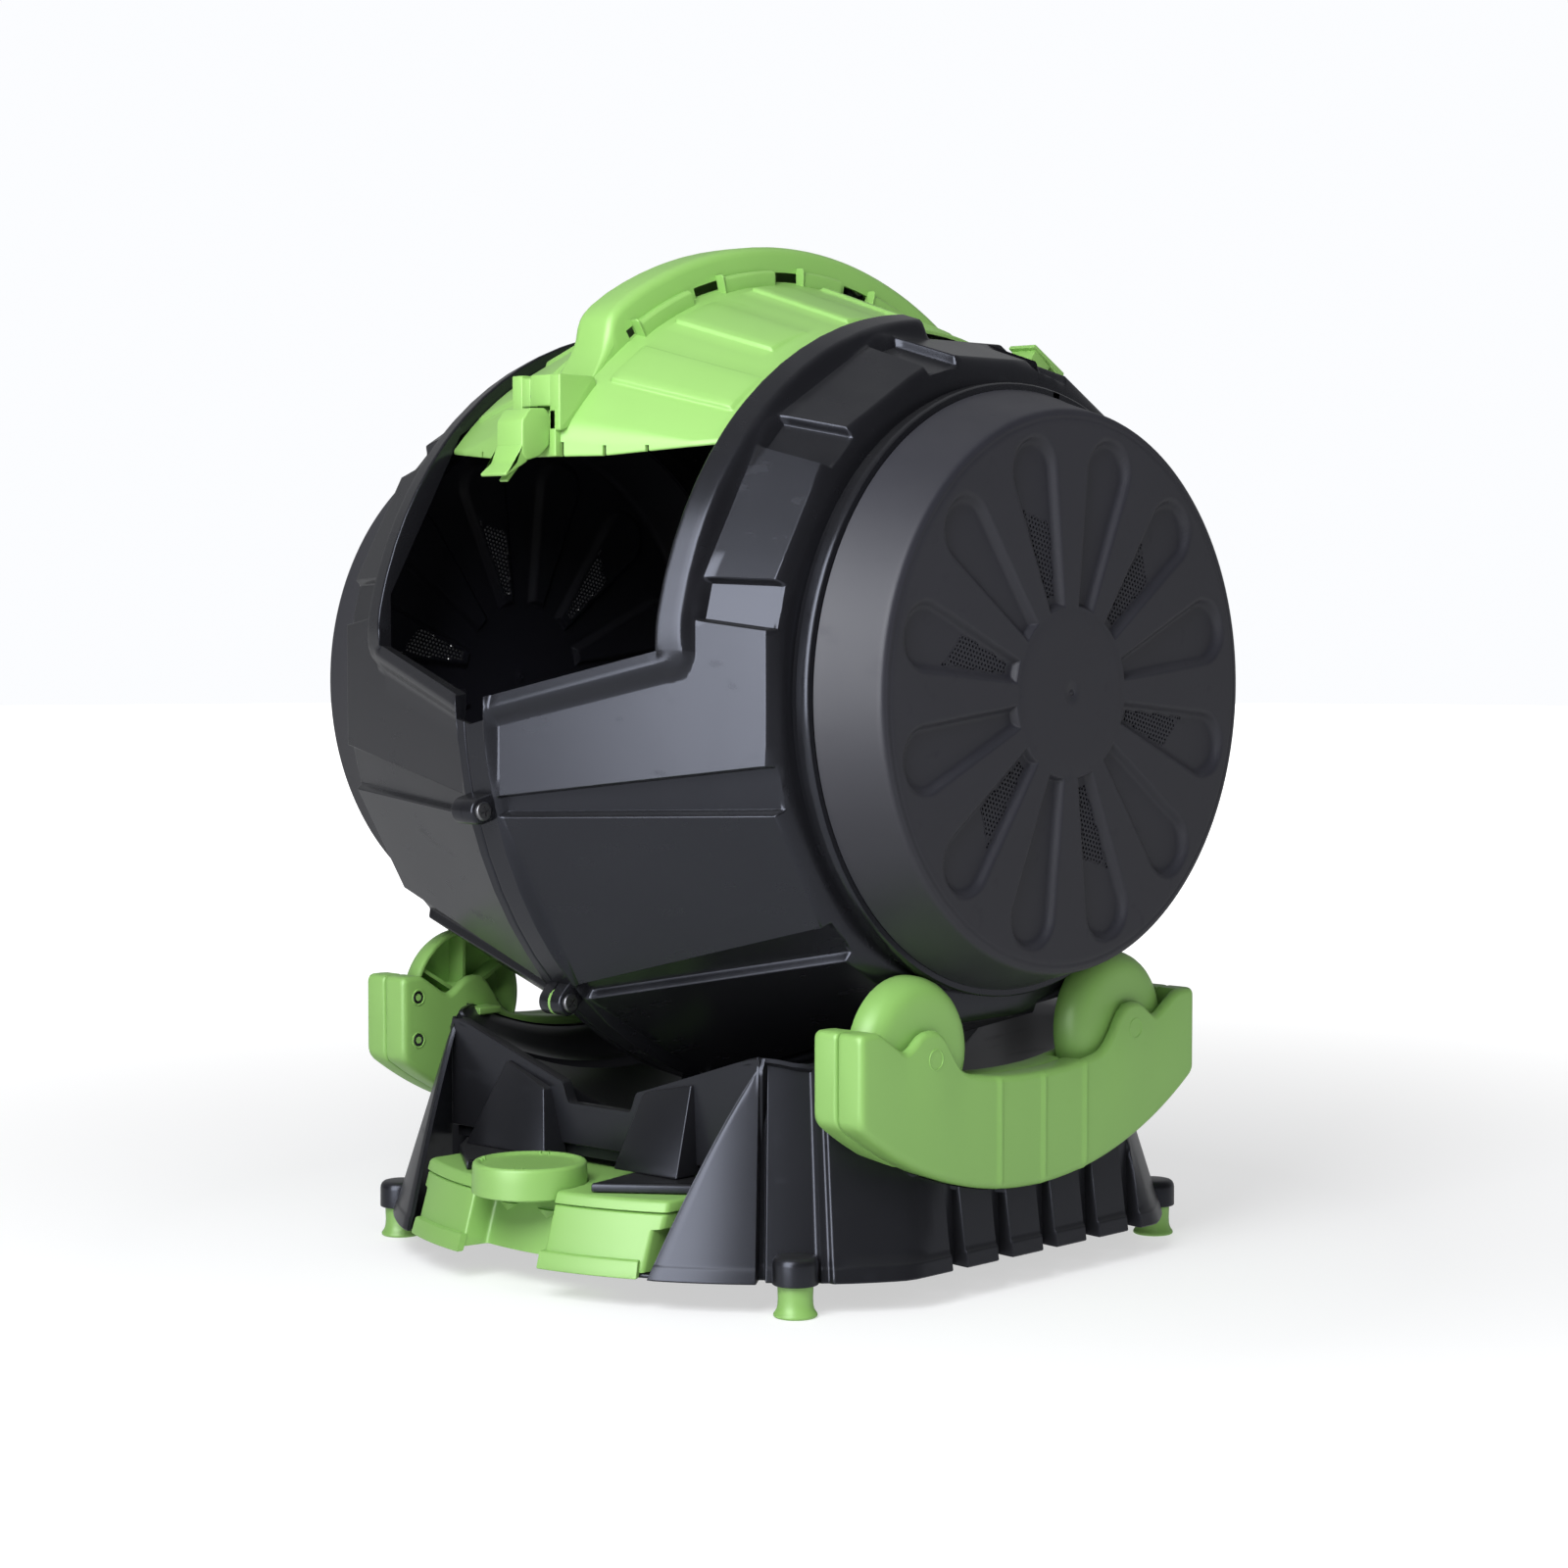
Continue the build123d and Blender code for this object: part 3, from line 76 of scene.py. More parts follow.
class Moulding:
    """A piece in the making: grids and outlines are laid in and then welded into one closed mesh."""

    def __init__(self):
        self.points = []
        self.faces = []
        self.total = 0

    def add(self, points):
        points = np.asarray(points, float).reshape(-1, 3)
        start = self.total
        self.points.append(points)
        self.total += len(points)
        return np.arange(start, self.total)

    def lay(self, grid, around=False, leave=None):
        """Quads over a grid [row, column, xyz]; around joins the last row to the first;
        leave marks open cells."""
        rows, cols = grid.shape[:2]
        index = self.add(grid).reshape(rows, cols)
        if around:
            index = np.vstack([index, index[:1]])
        quads = np.stack([index[:-1, :-1], index[1:, :-1], index[1:, 1:], index[:-1, 1:]], -1)
        if leave is not None:
            quads = quads[~leave]
        self.faces += quads.reshape(-1, 4).tolist()

    def cap(self, ring):
        """One flat face over a closed ring of points."""
        self.faces.append(self.add(ring).tolist())

    def join(self, first, second):
        """A strip of quads between two lines of points."""
        self.lay(np.stack([first, second]))


def finish_piece(name, moulding, body, finish, stands_for=(), crease=42.0, weld=2e-5):
    """Weld the grids, turn the faces outwards, shade smooth up to the crease angle, and ride on a body."""
    mesh = bpy.data.meshes.new(name)
    mesh.from_pydata((np.concatenate(moulding.points) * MM).tolist(), [], moulding.faces)
    bm = bmesh.new()
    bm.from_mesh(mesh)
    bmesh.ops.remove_doubles(bm, verts=bm.verts, dist=weld)
    bmesh.ops.dissolve_degenerate(bm, edges=bm.edges, dist=1e-6)
    bmesh.ops.recalc_face_normals(bm, faces=bm.faces)
    bm.to_mesh(mesh)
    bm.free()
    mesh.polygons.foreach_set("use_smooth", np.ones(len(mesh.polygons), bool))
    mesh.set_sharp_from_angle(angle=math.radians(crease))
    piece = bpy.data.objects.new(name, mesh)
    bpy.context.scene.collection.objects.link(piece)
    mesh.materials.append(finish)
    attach(piece, body)
    if stands_for:
        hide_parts(*stands_for)
    return piece


# Finishes
def feed(tree, node, inputs):
    """Give each input of a node its value, or link it to another node's output."""
    for place, value in inputs.items():
        if isinstance(value, bpy.types.NodeSocket):
            tree.links.new(value, node.inputs[place])
        else:
            node.inputs[place].default_value = value


def add_node(tree, kind, inputs=None, **settings):
    """A new node with its settings made first and its inputs fed after them."""
    node = tree.nodes.new(kind)
    for setting, value in settings.items():
        setattr(node, setting, value)
    feed(tree, node, inputs or {})
    return node


def node_group(name, inputs, outputs):
    """A shader node group with named float sockets."""
    group = bpy.data.node_groups.new(name, "ShaderNodeTree")
    for label, value in inputs.items():
        socket = group.interface.new_socket(name=label, in_out="INPUT", socket_type="NodeSocketFloat")
        socket.default_value = value
    for label in outputs:
        group.interface.new_socket(name=label, in_out="OUTPUT", socket_type="NodeSocketFloat")
    return group, group.nodes.new("NodeGroupInput"), group.nodes.new("NodeGroupOutput")


def node_material(name):
    """A material with nodes, its tree and its main shader."""
    material = bpy.data.materials.new(name)
    material.use_nodes = True
    return material, material.node_tree, material.node_tree.nodes["Principled BSDF"]


def moulded_skin_group():
    """Fine spark-eroded grain, slow flow marks and faint scuffs of moulded plastic,
    all on Object coordinates."""
    group, given, out = node_group(
        "moulded_skin", {"Grain Scale": 900.0, "Flow Scale": 7.0}, ("Grain", "Flow", "Scuff"))
    place = add_node(group, "ShaderNodeTexCoord").outputs["Object"]
    grain = add_node(group, "ShaderNodeTexNoise", {
        "Vector": place, "Scale": given.outputs["Grain Scale"], "Detail": 3.0})
    flow = add_node(group, "ShaderNodeTexNoise", {
        "Vector": place, "Scale": given.outputs["Flow Scale"], "Detail": 4.0, "Distortion": 0.6})
    stretch = add_node(group, "ShaderNodeMapping", {
        "Vector": place, "Scale": (14.0, 60.0, 60.0), "Rotation": (0.4, 0.7, 0.2)})
    scuff = add_node(group, "ShaderNodeTexNoise", {
        "Vector": stretch.outputs["Vector"], "Scale": 1.0, "Detail": 5.0})
    band = add_node(group, "ShaderNodeMapRange", {
        "Value": scuff.outputs["Fac"], "From Min": 0.62, "From Max": 0.8})
    feed(group, out, {
        "Grain": grain.outputs["Fac"], "Flow": flow.outputs["Fac"], "Scuff": band.outputs["Result"]})
    return group


def dust_group():
    """A film of dust that settles where a face looks up, broken by noise."""
    group, given, out = node_group("settled_dust", {"Amount": 0.1}, ("Dust",))
    normal = add_node(group, "ShaderNodeNewGeometry").outputs["Normal"]
    split = add_node(group, "ShaderNodeSeparateXYZ", {"Vector": normal})
    up = add_node(group, "ShaderNodeMapRange", {"Value": split.outputs["Z"], "From Min": 0.35, "From Max": 1.0})
    place = add_node(group, "ShaderNodeTexCoord").outputs["Object"]
    cloud = add_node(group, "ShaderNodeTexNoise", {"Vector": place, "Scale": 22.0, "Detail": 6.0})
    both = add_node(group, "ShaderNodeMath", {
        0: up.outputs["Result"], 1: cloud.outputs["Fac"]}, operation="MULTIPLY")
    scaled = add_node(group, "ShaderNodeMath", {
        0: both.outputs["Value"], 1: given.outputs["Amount"]}, operation="MULTIPLY")
    feed(group, out, {"Dust": scaled.outputs["Value"]})
    return group


SKIN = moulded_skin_group()
DUST = dust_group()


def moulded_plastic(name, dark, light, rough, bump=0.05, dust=0.1, dust_tint=(0.5, 0.5, 0.48),
                    sheen=(1.0, 1.0, 1.0)):
    """Moulded plastic: colour drifts between dark and light with the flow, roughness follows scuffs,
    grain bumps."""
    material, tree, shader = node_material(name)
    skin = add_node(tree, "ShaderNodeGroup", node_tree=SKIN)
    drift = add_node(tree, "ShaderNodeMix", {
        "Factor": skin.outputs["Flow"], "A": (*dark, 1), "B": (*light, 1)}, data_type="RGBA")
    film = add_node(tree, "ShaderNodeGroup", {"Amount": dust}, node_tree=DUST)
    dusty = add_node(tree, "ShaderNodeMix", {
        "Factor": film.outputs["Dust"], "A": drift.outputs["Result"], "B": (*dust_tint, 1)}, data_type="RGBA")
    polish = add_node(tree, "ShaderNodeMapRange", {
        "Value": skin.outputs["Flow"], "To Min": rough - 0.05, "To Max": rough + 0.07})
    worn = add_node(tree, "ShaderNodeMath", {
        0: skin.outputs["Scuff"], 1: 0.12, 2: polish.outputs["Result"]}, operation="MULTIPLY_ADD")
    relief = add_node(tree, "ShaderNodeBump", {
        "Strength": bump, "Distance": 0.0002, "Height": skin.outputs["Grain"]})
    feed(tree, shader, {
        "Base Color": dusty.outputs["Result"], "Roughness": worn.outputs["Value"],
        "Normal": relief.outputs["Normal"], "Specular Tint": (*sheen, 1)})
    return material


def zinc_steel(name):
    """Dull zinc plate: one fine noise sets its tone, its polish and a shallow relief."""
    material, tree, shader = node_material(name)
    place = add_node(tree, "ShaderNodeTexCoord").outputs["Object"]
    marks = add_node(tree, "ShaderNodeTexNoise", {"Vector": place, "Scale": 1400.0}).outputs["Fac"]
    tone = add_node(tree, "ShaderNodeMix", {
        "Factor": marks, "A": (0.13, 0.13, 0.14, 1), "B": (0.26, 0.26, 0.27, 1)}, data_type="RGBA")
    rough = add_node(tree, "ShaderNodeMapRange", {"Value": marks, "To Min": 0.28, "To Max": 0.48})
    relief = add_node(tree, "ShaderNodeBump", {"Strength": 0.1, "Distance": 0.0001, "Height": marks})
    feed(tree, shader, {
        "Metallic": 1.0, "Base Color": tone.outputs["Result"], "Roughness": rough.outputs["Result"],
        "Normal": relief.outputs["Normal"]})
    return material


COOL = (0.80, 0.84, 1.0)
DRUM_BLACK = moulded_plastic("drum_black", (0.006, 0.006, 0.007), (0.010, 0.010, 0.012), 0.24, bump=0.03,
                             dust=0.03, sheen=COOL)
CAP_BLACK = moulded_plastic("cap_black", (0.014, 0.014, 0.019), (0.019, 0.019, 0.026), 0.50, bump=0.16,
                            dust=0.04)
BASE_BLACK = moulded_plastic("base_black", (0.007, 0.007, 0.008), (0.012, 0.012, 0.014), 0.30, dust=0.05,
                             sheen=COOL)
LIME = moulded_plastic("lime_green", (0.215, 0.420, 0.100), (0.245, 0.460, 0.118), 0.42, dust=0.03,
                       dust_tint=(0.6, 0.7, 0.5))
ZINC = zinc_steel("zinc_steel")


# Tools for blocks with rounded edges
def soften(outline, radius, bends=3):
    """Round every corner of a closed outline:
    a parabola from side to side, shorter where the sides are short."""
    corner = np.asarray(outline, float)
    before, after = np.roll(corner, 1, 0) - corner, np.roll(corner, -1, 0) - corner
    long_before = np.linalg.norm(before, axis=1, keepdims=True)
    long_after = np.linalg.norm(after, axis=1, keepdims=True)
    cut = np.minimum(np.reshape(radius, (-1, 1)), 0.45 * np.minimum(long_before, long_after))
    start, end = corner + before / long_before * cut, corner + after / long_after * cut
    s = np.linspace(0.0, 1.0, bends + 1)[None, :, None]
    curve = (1 - s) ** 2 * start[:, None] + 2 * s * (1 - s) * corner[:, None] + s ** 2 * end[:, None]
    return curve.reshape(-1, 2)


def shrink(outline, inset):
    """Move every side of a closed outline inwards; the outline may run either way round."""
    ahead = np.roll(outline, -1, 0) - outline
    area = np.sum(outline[:, 0] * np.roll(outline[:, 1], -1) - outline[:, 1] * np.roll(outline[:, 0], -1))
    normal = np.stack([-ahead[:, 1], ahead[:, 0]], -1) * np.sign(area)
    normal = normal / np.maximum(np.linalg.norm(normal, axis=1, keepdims=True), 1e-9)
    past = np.roll(normal, 1, 0)
    mitre = (normal + past) / np.maximum(1.0 + np.sum(normal * past, 1, keepdims=True), 0.35)
    return outline + inset * mitre


def loft(made, rings):
    """Skin over a row of closed rings [station, point, xyz], with both ends closed."""
    rings = np.asarray(rings)
    made.lay(np.swapaxes(rings, 0, 1), around=True)
    made.cap(rings[0])
    made.cap(rings[-1])


def block(made, outline, place, start, end, rim=(1.0, 1.0), bends=3):
    """An outline pushed from start to end, both rims rounded by a quarter circle;
    place turns (u, v, w) into xyz."""
    bend = np.linspace(0.0, math.pi / 2.0, bends + 1)
    way = 1.0 if end > start else -1.0
    first = [(start + way * rim[0] * (1 - math.cos(b)), rim[0] * (1 - math.sin(b))) for b in bend]
    last = [(end - way * rim[1] * (1 - math.cos(b)), rim[1] * (1 - math.sin(b))) for b in bend[::-1]]
    rings = []
    for w, inset in first + last:
        line = shrink(outline, inset)
        rings.append(place(line[:, 0], line[:, 1], np.full(len(line), w)))
    loft(made, rings)


def along_x(u, v, w):
    """An outline drawn in (y, z) and pushed along x."""
    return np.stack([w, u, v], -1)


def along_z(u, v, w):
    """An outline drawn in (x, y) and pushed up z."""
    return np.stack([u, v, w], -1)


def polar(points):
    """(radius, angle) pairs about the drum axis as (y, z) pairs."""
    r, phi = np.asarray(points, float).T
    a = np.radians(phi)
    return np.stack([-r * np.cos(a), AXIS_Z + r * np.sin(a)], -1)


def turned_ring(made, profile, centre, count=64):
    """A closed profile of (radius, x) turned about an axis along x through centre (y, z)."""
    r, x = np.asarray(profile, float).T
    a = np.linspace(0.0, 2.0 * math.pi, count, endpoint=False)[:, None]
    grid = np.stack([np.broadcast_to(x, (count, len(x))), centre[0] + r * np.cos(a),
                     centre[1] + r * np.sin(a)], -1)
    made.lay(np.concatenate([grid, grid[:, :1]], 1), around=True)


def turned_up(made, profile, x, y, count):
    """An open profile of (radius, z) turned about an upright axis through (x, y)."""
    r, z = np.asarray(profile, float).T
    a = np.linspace(0.0, 2.0 * math.pi, count, endpoint=False)[:, None]
    made.lay(np.stack([x + r * np.cos(a), y + r * np.sin(a), np.broadcast_to(z, (count, len(z)))], -1),
             around=True)


def thick(made, grid, back, holes=None):
    """A sheet with a back: both sides, with the cells of its holes left out, and the rim all round."""
    made.lay(grid, leave=holes)
    made.lay(back, leave=holes)
    for line in (0, -1):
        made.join(grid[line], back[line])
        made.join(grid[:, line], back[:, line])


def line_holes(made, grid, back, holes):
    """Walls between the two sides of a sheet along the edges of its left-out cells."""
    down = np.pad(holes, ((1, 1), (0, 0)))
    for i, j in np.argwhere(down[1:] != down[:-1]):
        made.join(grid[i, j:j + 2], back[i, j:j + 2])
    over = np.pad(holes, ((0, 0), (1, 1)))
    for i, j in np.argwhere(over[:, 1:] != over[:, :-1]):
        made.join(grid[i:i + 2, j], back[i:i + 2, j])


# Drum halves
CORNERS = np.arange(-165.0, 180.0, 30.0)
HATCH_TOP_Y = 38.0
NOTCH_HALF = 17.4
PARTING = 6.9
PARTING_GAP = 0.03
BOLT_CIRCLE_R = 381.0


def facet_apothem(w):
    """Distance of the flats from the axis: straight taper from the seam to the end."""
    return 359.0 - 74.0 * (w - 18.0) / 250.0


def bed_r(w):
    """Radius of the smooth bed that the door slides over, sloping off from the seam."""
    return 348.4 - 0.2265 * w


def hatch_low(w):
    """Angle of the hatch's lower edge: a V that dips at the seam, with a rounded square notch in it."""
    w = np.abs(w)
    edge = -6.46 + 43.26 * np.minimum(w, HATCH_HALF + 3.0) / HATCH_HALF
    dip = 19.0 * (1.0 - ease((w - NOTCH_HALF + 0.4) / 0.8))
    r = facet_apothem(np.minimum(w, 201.0))
    return np.degrees(np.arctan2(edge - dip, r))


def channel_half(w):
    """Half width of a corner channel: it widens from the seam to the end."""
    return 6.5 + 12.0 * np.clip((w - 18.0) / 242.0, 0.0, 1.0)


def drum_skin(phi, w, low):
    """Radius of the drum skin: flats, corner channels, door bed and seam band blended by smooth steps."""
    turn = np.mod(phi + 15.0, 30.0) - 15.0
    flat = facet_apothem(w) / np.cos(np.radians(turn))
    drop = np.sqrt(np.clip(1.0 - np.clip((w - 264.0) / 7.0, 0.0, 1.0) ** 2, 0.0, 1.0))
    flat = np.where(w > 264.0, 261.5 + (flat - 261.5) * drop, flat)
    nearest = np.round((phi - 15.0) / 30.0) * 30.0 + 15.0
    off = np.radians(phi - nearest)
    corner_r = facet_apothem(w) / math.cos(math.radians(15.0))
    half = channel_half(w)
    floor = (corner_r - half * math.tan(math.radians(15.0)) - 8.5) / np.cos(off)
    across = np.abs(off) * corner_r
    starts = np.where(nearest > 0.0, 203.0, 19.0)
    sunk = (1.0 - ease((across - half + 0.6) / 4.0)) * ease((w - starts) / 3.0)
    r = flat + np.minimum(floor - flat, 0.0) * sunk
    bed = ease((phi - 81.5) / 0.7) * (1.0 - ease((phi - 173.2) / 1.2))
    bed = bed * (1.0 - ease((w - 182.0 - 14.0 * ease((phi - 86.4) / 1.0)) / 4.0))
    r = r + (bed_r(w) - r) * bed
    seam = np.where(phi < 50.0, ease((low - phi + 0.6) / 0.5), ease((phi - 101.7) / 0.7))
    band = (1.0 - ease((w - 16.5) / 6.0)) * seam
    return r + (SEAM_R - r) * band


def drum_outside(phi, w, low, start):
    """Skin plus the raised lip below the hatch, the rail beside it,
    the rounded shoulder and the track bead."""
    r = drum_skin(phi, w, low)
    below = np.radians(low - phi) * r
    under, beyond = np.maximum(below, 0.0) / 26.0, np.maximum(w - HATCH_HALF, 0.0) / 28.0
    away = np.hypot(under, beyond)
    share = np.where(w < HATCH_HALF, 1.0, under ** 2 / (away ** 2 + 1e-9))
    out = 26.0 * away
    lip = np.where(out < 9.0, 7.8 + 1.7 * np.clip(out / 8.0, 0.0, 1.0),
                   9.5 * (1.0 - ease((out - 10.5) / 15.5)))
    out = 28.0 * away
    rail = RAIL_R + 3.5 - 0.28 * out - 1.8 * ease((out - 21.5) / 3.0) - r
    rail = rail - 2.4 * (1.0 - np.sqrt(np.clip(1.0 - np.clip(1.0 - out / 3.0, 0.0, 1.0) ** 2, 0.0, 1.0)))
    rail = (9.5 + (rail - 9.5) * ease((phi - low + 2.0) / 9.0)) * (1.0 - ease((out - 24.0) / 4.0))
    stand = share * lip * ease((w - 16.0) / 7.0) + (1.0 - share) * np.maximum(rail, 0.0)
    stand = np.where((w < HATCH_HALF - 0.05) & (below < -0.5), 0.0, stand)
    r = r + stand * (1.0 - ease((phi - 86.2) / 1.3))
    r = r - 1.3 * np.clip(1.0 - (w - start) / 1.5, 0.0, 1.0) ** 2
    bead = ease((w - 275.6) / 1.8) * (1.0 - 0.5 * ease((w - 288.6) / 1.4))
    return np.where(w > 270.9, 261.5 + (TRACK_R - 261.5) * bead, r)


def drum_half(side):
    """One drum half: skin swept round the axis on rows that follow the channels and the hatch edge,
    with an inside."""
    start = PARTING * -side + PARTING_GAP
    edge = start + np.array([0.0, 0.5, 1.0, 1.5, 3.0])
    w = np.array([12.2, 14.5, 15.8, 16.2, 16.6, 17.0, 17.4, 17.8, 18.7, 20, 21.2, 22.5, 24, 30, 44, 60, 76,
                  92, 108, 124, 140, 156, 166, 171, 172.5, 173.5, 174.3, 175, 175.4, 176, 177, 178, 180,
                  182, 183.5, 185, 186, 190, 195, 197, 199, 200.2, 201, 202, 203.2, 204.5, 206, 214, 226,
                  238, 246, 252, 258, 263, 263.8, 264.4, 265, 265.6, 266.2, 266.8, 267.4, 268, 268.8, 269.5,
                  270.1, 270.5, 270.8, 271, 275, 276, 276.8, 277.6, 283, 288.4, 289.4, 290.0])
    w = np.concatenate([edge, [0.0, 6.0] if side > 0 else [], w])
    low = hatch_low(w)
    top = np.degrees(np.arccos(HATCH_TOP_Y / bed_r(np.minimum(w, HATCH_HALF))))
    corner_r = facet_apothem(w) / math.cos(math.radians(15.0))
    inner = np.degrees((channel_half(w) - 0.6) / corner_r)
    outer = np.degrees((channel_half(w) + 3.4) / corner_r)
    knots, counts = [np.full_like(w, -180.0)], []
    for corner in CORNERS:
        knots += [corner - outer, corner - inner, corner + inner, corner + outer]
        counts += [5, 6, 4, 6]
        if corner == -15.0:
            depth = np.degrees(1.0 / facet_apothem(np.minimum(w, 201.0)))
            knots += [low - 27.0 * depth, low - 10.5 * depth, low - 8.0 * depth, low - 0.8 * depth, low]
            counts += [4, 8, 2, 5, 2]
        if corner == 75.0:
            knots += [top, np.full_like(w, 86.2), np.full_like(w, 87.5), np.full_like(w, 101.6),
                      np.full_like(w, 102.5)]
            counts += [3, 3, 5, 4, 4]
        if corner == 165.0:
            knots += [np.full_like(w, 173.1), np.full_like(w, 174.5), np.full_like(w, 180.0)]
            counts += [1, 4, 3]
    knots = np.stack(knots)
    edge_row, top_row = (sum(counts[:next(i for i, knot in enumerate(knots) if np.allclose(knot, line))])
                         for line in (low, top))
    phi = spread(knots, counts)
    across = np.broadcast_to(w, phi.shape)
    outside = drum_point(drum_outside(phi, across, low, start), phi, side * across)
    inside_r = np.where(across > 264.0, 256.0, drum_skin(phi, np.minimum(across, 264.0), low) - 4.0)
    inside = drum_point(inside_r, phi, side * across)
    rows, cols = phi.shape
    side_col = int(np.argmin(np.abs(w - HATCH_HALF)))
    mouth = np.zeros((rows - 1, cols - 1), bool)
    mouth[edge_row:top_row, :side_col] = True
    made = Moulding()
    made.lay(outside, leave=mouth)
    made.lay(inside, leave=mouth)
    made.join(outside[:edge_row + 1, 0], inside[:edge_row + 1, 0])
    made.join(outside[top_row:, 0], inside[top_row:, 0])
    made.join(outside[:, -1], inside[:, -1])
    made.join(outside[edge_row, :side_col + 1], inside[edge_row, :side_col + 1])
    made.join(outside[top_row, :side_col + 1], inside[top_row, :side_col + 1])
    made.join(outside[edge_row:top_row + 1, side_col], inside[edge_row:top_row + 1, side_col])
    return made


def bolt_boss(made, angle, side, start):
    """A round-topped lug on the seam: an arch outline pushed along the axis with a rounded far edge."""
    arch = np.radians(np.linspace(0.0, 180.0, 19))
    run = np.array([start, start, 11.8, 12.9, 13.6, 14.0, 14.0])
    size = np.array([0.0, 11.5, 11.5, 11.2, 10.5, 9.3, 0.0])
    rise = np.concatenate([[-14.0], np.sin(arch), [-14.0]])
    reach = np.concatenate([[1.0], np.cos(arch), [-1.0]])
    up = np.where(rise[:, None] < 0.0, np.where(size > 0.0, -14.0, 0.0), rise[:, None] * size)
    along = reach[:, None] * size
    turn = math.radians(angle)
    r = BOLT_CIRCLE_R + up
    out = np.array([0.0, -math.cos(turn), math.sin(turn)])
    tangent = np.array([0.0, math.sin(turn), math.cos(turn)])
    grid = r[..., None] * out + along[..., None] * tangent + np.array([0.0, 0.0, AXIS_Z])
    grid[..., 0] = side * run[None, :]
    made.lay(grid, around=True)


for side, label in ((-1, "left"), (1, "right")):
    half = drum_half(side)
    for bolt_angle in (-165, -135, -105, -75, -45, -15, 105, 135, 165):
        bolt_boss(half, bolt_angle, side, 0.8 if bolt_angle in (-165, -105, -45) else 0.1)
    finish_piece("drum_skin_" + label, half, "drum", DRUM_BLACK, ["drum_half_" + label], crease=38.0)


# End caps
PETALS = 15.0 + np.arange(12) * 30.0
VENT_PETALS = PETALS[::2]
FACE_W = 350.5
PETAL_SUNK = 6.4
VENT_IN_R = 84.0
VENT_OUT_R = 153.0
VENT_SLANT = 0.55


def petal_edge(r, turn):
    """Signed distance from the petal outline:
    straight sides that spread to a round end, cut off by the hub circle."""
    x = np.abs(r * np.sin(turn))
    y = r * np.cos(turn) - 85.0
    b = (10.0 - 27.0) / 108.0
    a = math.sqrt(1.0 - b * b)
    along = -b * x + a * y
    far = np.hypot(x, y - 108.0) - 27.0
    side = a * x + b * y - 10.0
    return np.maximum(np.where(along > a * 108.0, far, side), 1.6 * (74.5 - r))


def cap_face(r, turn):
    """Height of the cap's face: sunk petals with soft walls, a faint hub step and a tiny centre mark."""
    sunk = ease((2.8 - petal_edge(r, turn)) / 7.0)
    hub = 0.3 * (1.0 - ease((r - 66.0) / 5.0))
    mark = 0.7 * ease((r - 0.6) / 0.8) * (1.0 - ease((r - 3.0) / 0.8))
    return FACE_W - PETAL_SUNK * sunk + hub - mark


def vent_zone(r, turn):
    """True inside the triangular patch of fine holes:
    on the petal floor, from near the hub to a slanted far end."""
    x = r * np.sin(turn)
    return (petal_edge(r, turn) < -6.0) & (r > VENT_IN_R + 0.5) & (r < VENT_OUT_R - 1.5 - VENT_SLANT * x)


def cap_shell(side):
    """Petalled cap turned round the axis: face, rounded rim, tapering ring, and an inside 4 mm under it."""
    turns = np.array([-15, -13, -11, -9.8, -9.2, -8.6, -8.1, -7.6, -7.1, -6.6, -6.0, -5.2, -4.2, -3, -1.5,
                      0, 1.5, 3, 4.2, 5.2, 6.0, 6.6, 7.1, 7.6, 8.1, 8.6, 9.2, 9.8, 11, 13])
    theta = (PETALS[:, None] + turns[None, :]).ravel()
    turn = np.radians(np.tile(turns, len(PETALS)))[:, None]
    r = steps([0.01, 0.6, 1.4, 3, 3.8, 20, 66, 71, 79, 84, 156, 188, 224, 229, 232.5],
              [1, 3, 2, 3, 2, 4, 2, 12, 3, 26, 4, 20, 2, 2])
    face = cap_face(r[None, :], turn)
    rim_r = np.array([234.0, 235.6, 237.0, 238.4, 239.6, 240.5, 241.3, 245.5, 250, 254, 257, 257.8, 257.2])
    rim_w = np.array([350.4, 349.7, 349.2, 348.7, 347.4, 345.5, 342.5, 328, 313, 301, 292.5, 290.8, 290.1])
    radius = np.concatenate([r, rim_r])
    rise = np.concatenate([face, np.broadcast_to(rim_w, (len(theta), len(rim_w)))], 1)
    groove = 0.9 * np.exp(-((radius - 232.0) / 1.1) ** 2)
    rise = rise - groove[None, :] * (radius < 236.0)
    spread = np.broadcast_to(radius, rise.shape)
    outside = drum_point(spread, theta[:, None] + 0.0, side * rise)
    deep_r = np.where(radius > 230.0, radius - 4.2, radius)
    deep_w = np.where(radius > 230.0, np.maximum(rise - 2.5, 290.1), rise - 4.2)
    inside = drum_point(np.broadcast_to(deep_r, rise.shape), theta[:, None], side * deep_w)
    mid_r = 0.5 * (radius[1:] + radius[:-1])
    next_turn = np.radians(np.tile(np.append(turns[1:], 15.0), len(PETALS)))[:, None]
    mid_turn = 0.5 * (turn + next_turn)
    vented = np.isin(np.repeat(PETALS, len(turns)), VENT_PETALS)[:, None]
    open_cells = vent_zone(mid_r[None, :], mid_turn) & vented
    made = Moulding()
    made.lay(outside, around=True, leave=open_cells)
    made.lay(inside, around=True, leave=open_cells)
    ring = np.vstack([outside[:, -1], outside[:1, -1]])
    made.join(ring, np.vstack([inside[:, -1], inside[:1, -1]]))
    closed_out = np.vstack([outside, outside[:1]])
    closed_in = np.vstack([inside, inside[:1]])
    line_holes(made, closed_out, closed_in, open_cells)
    return made


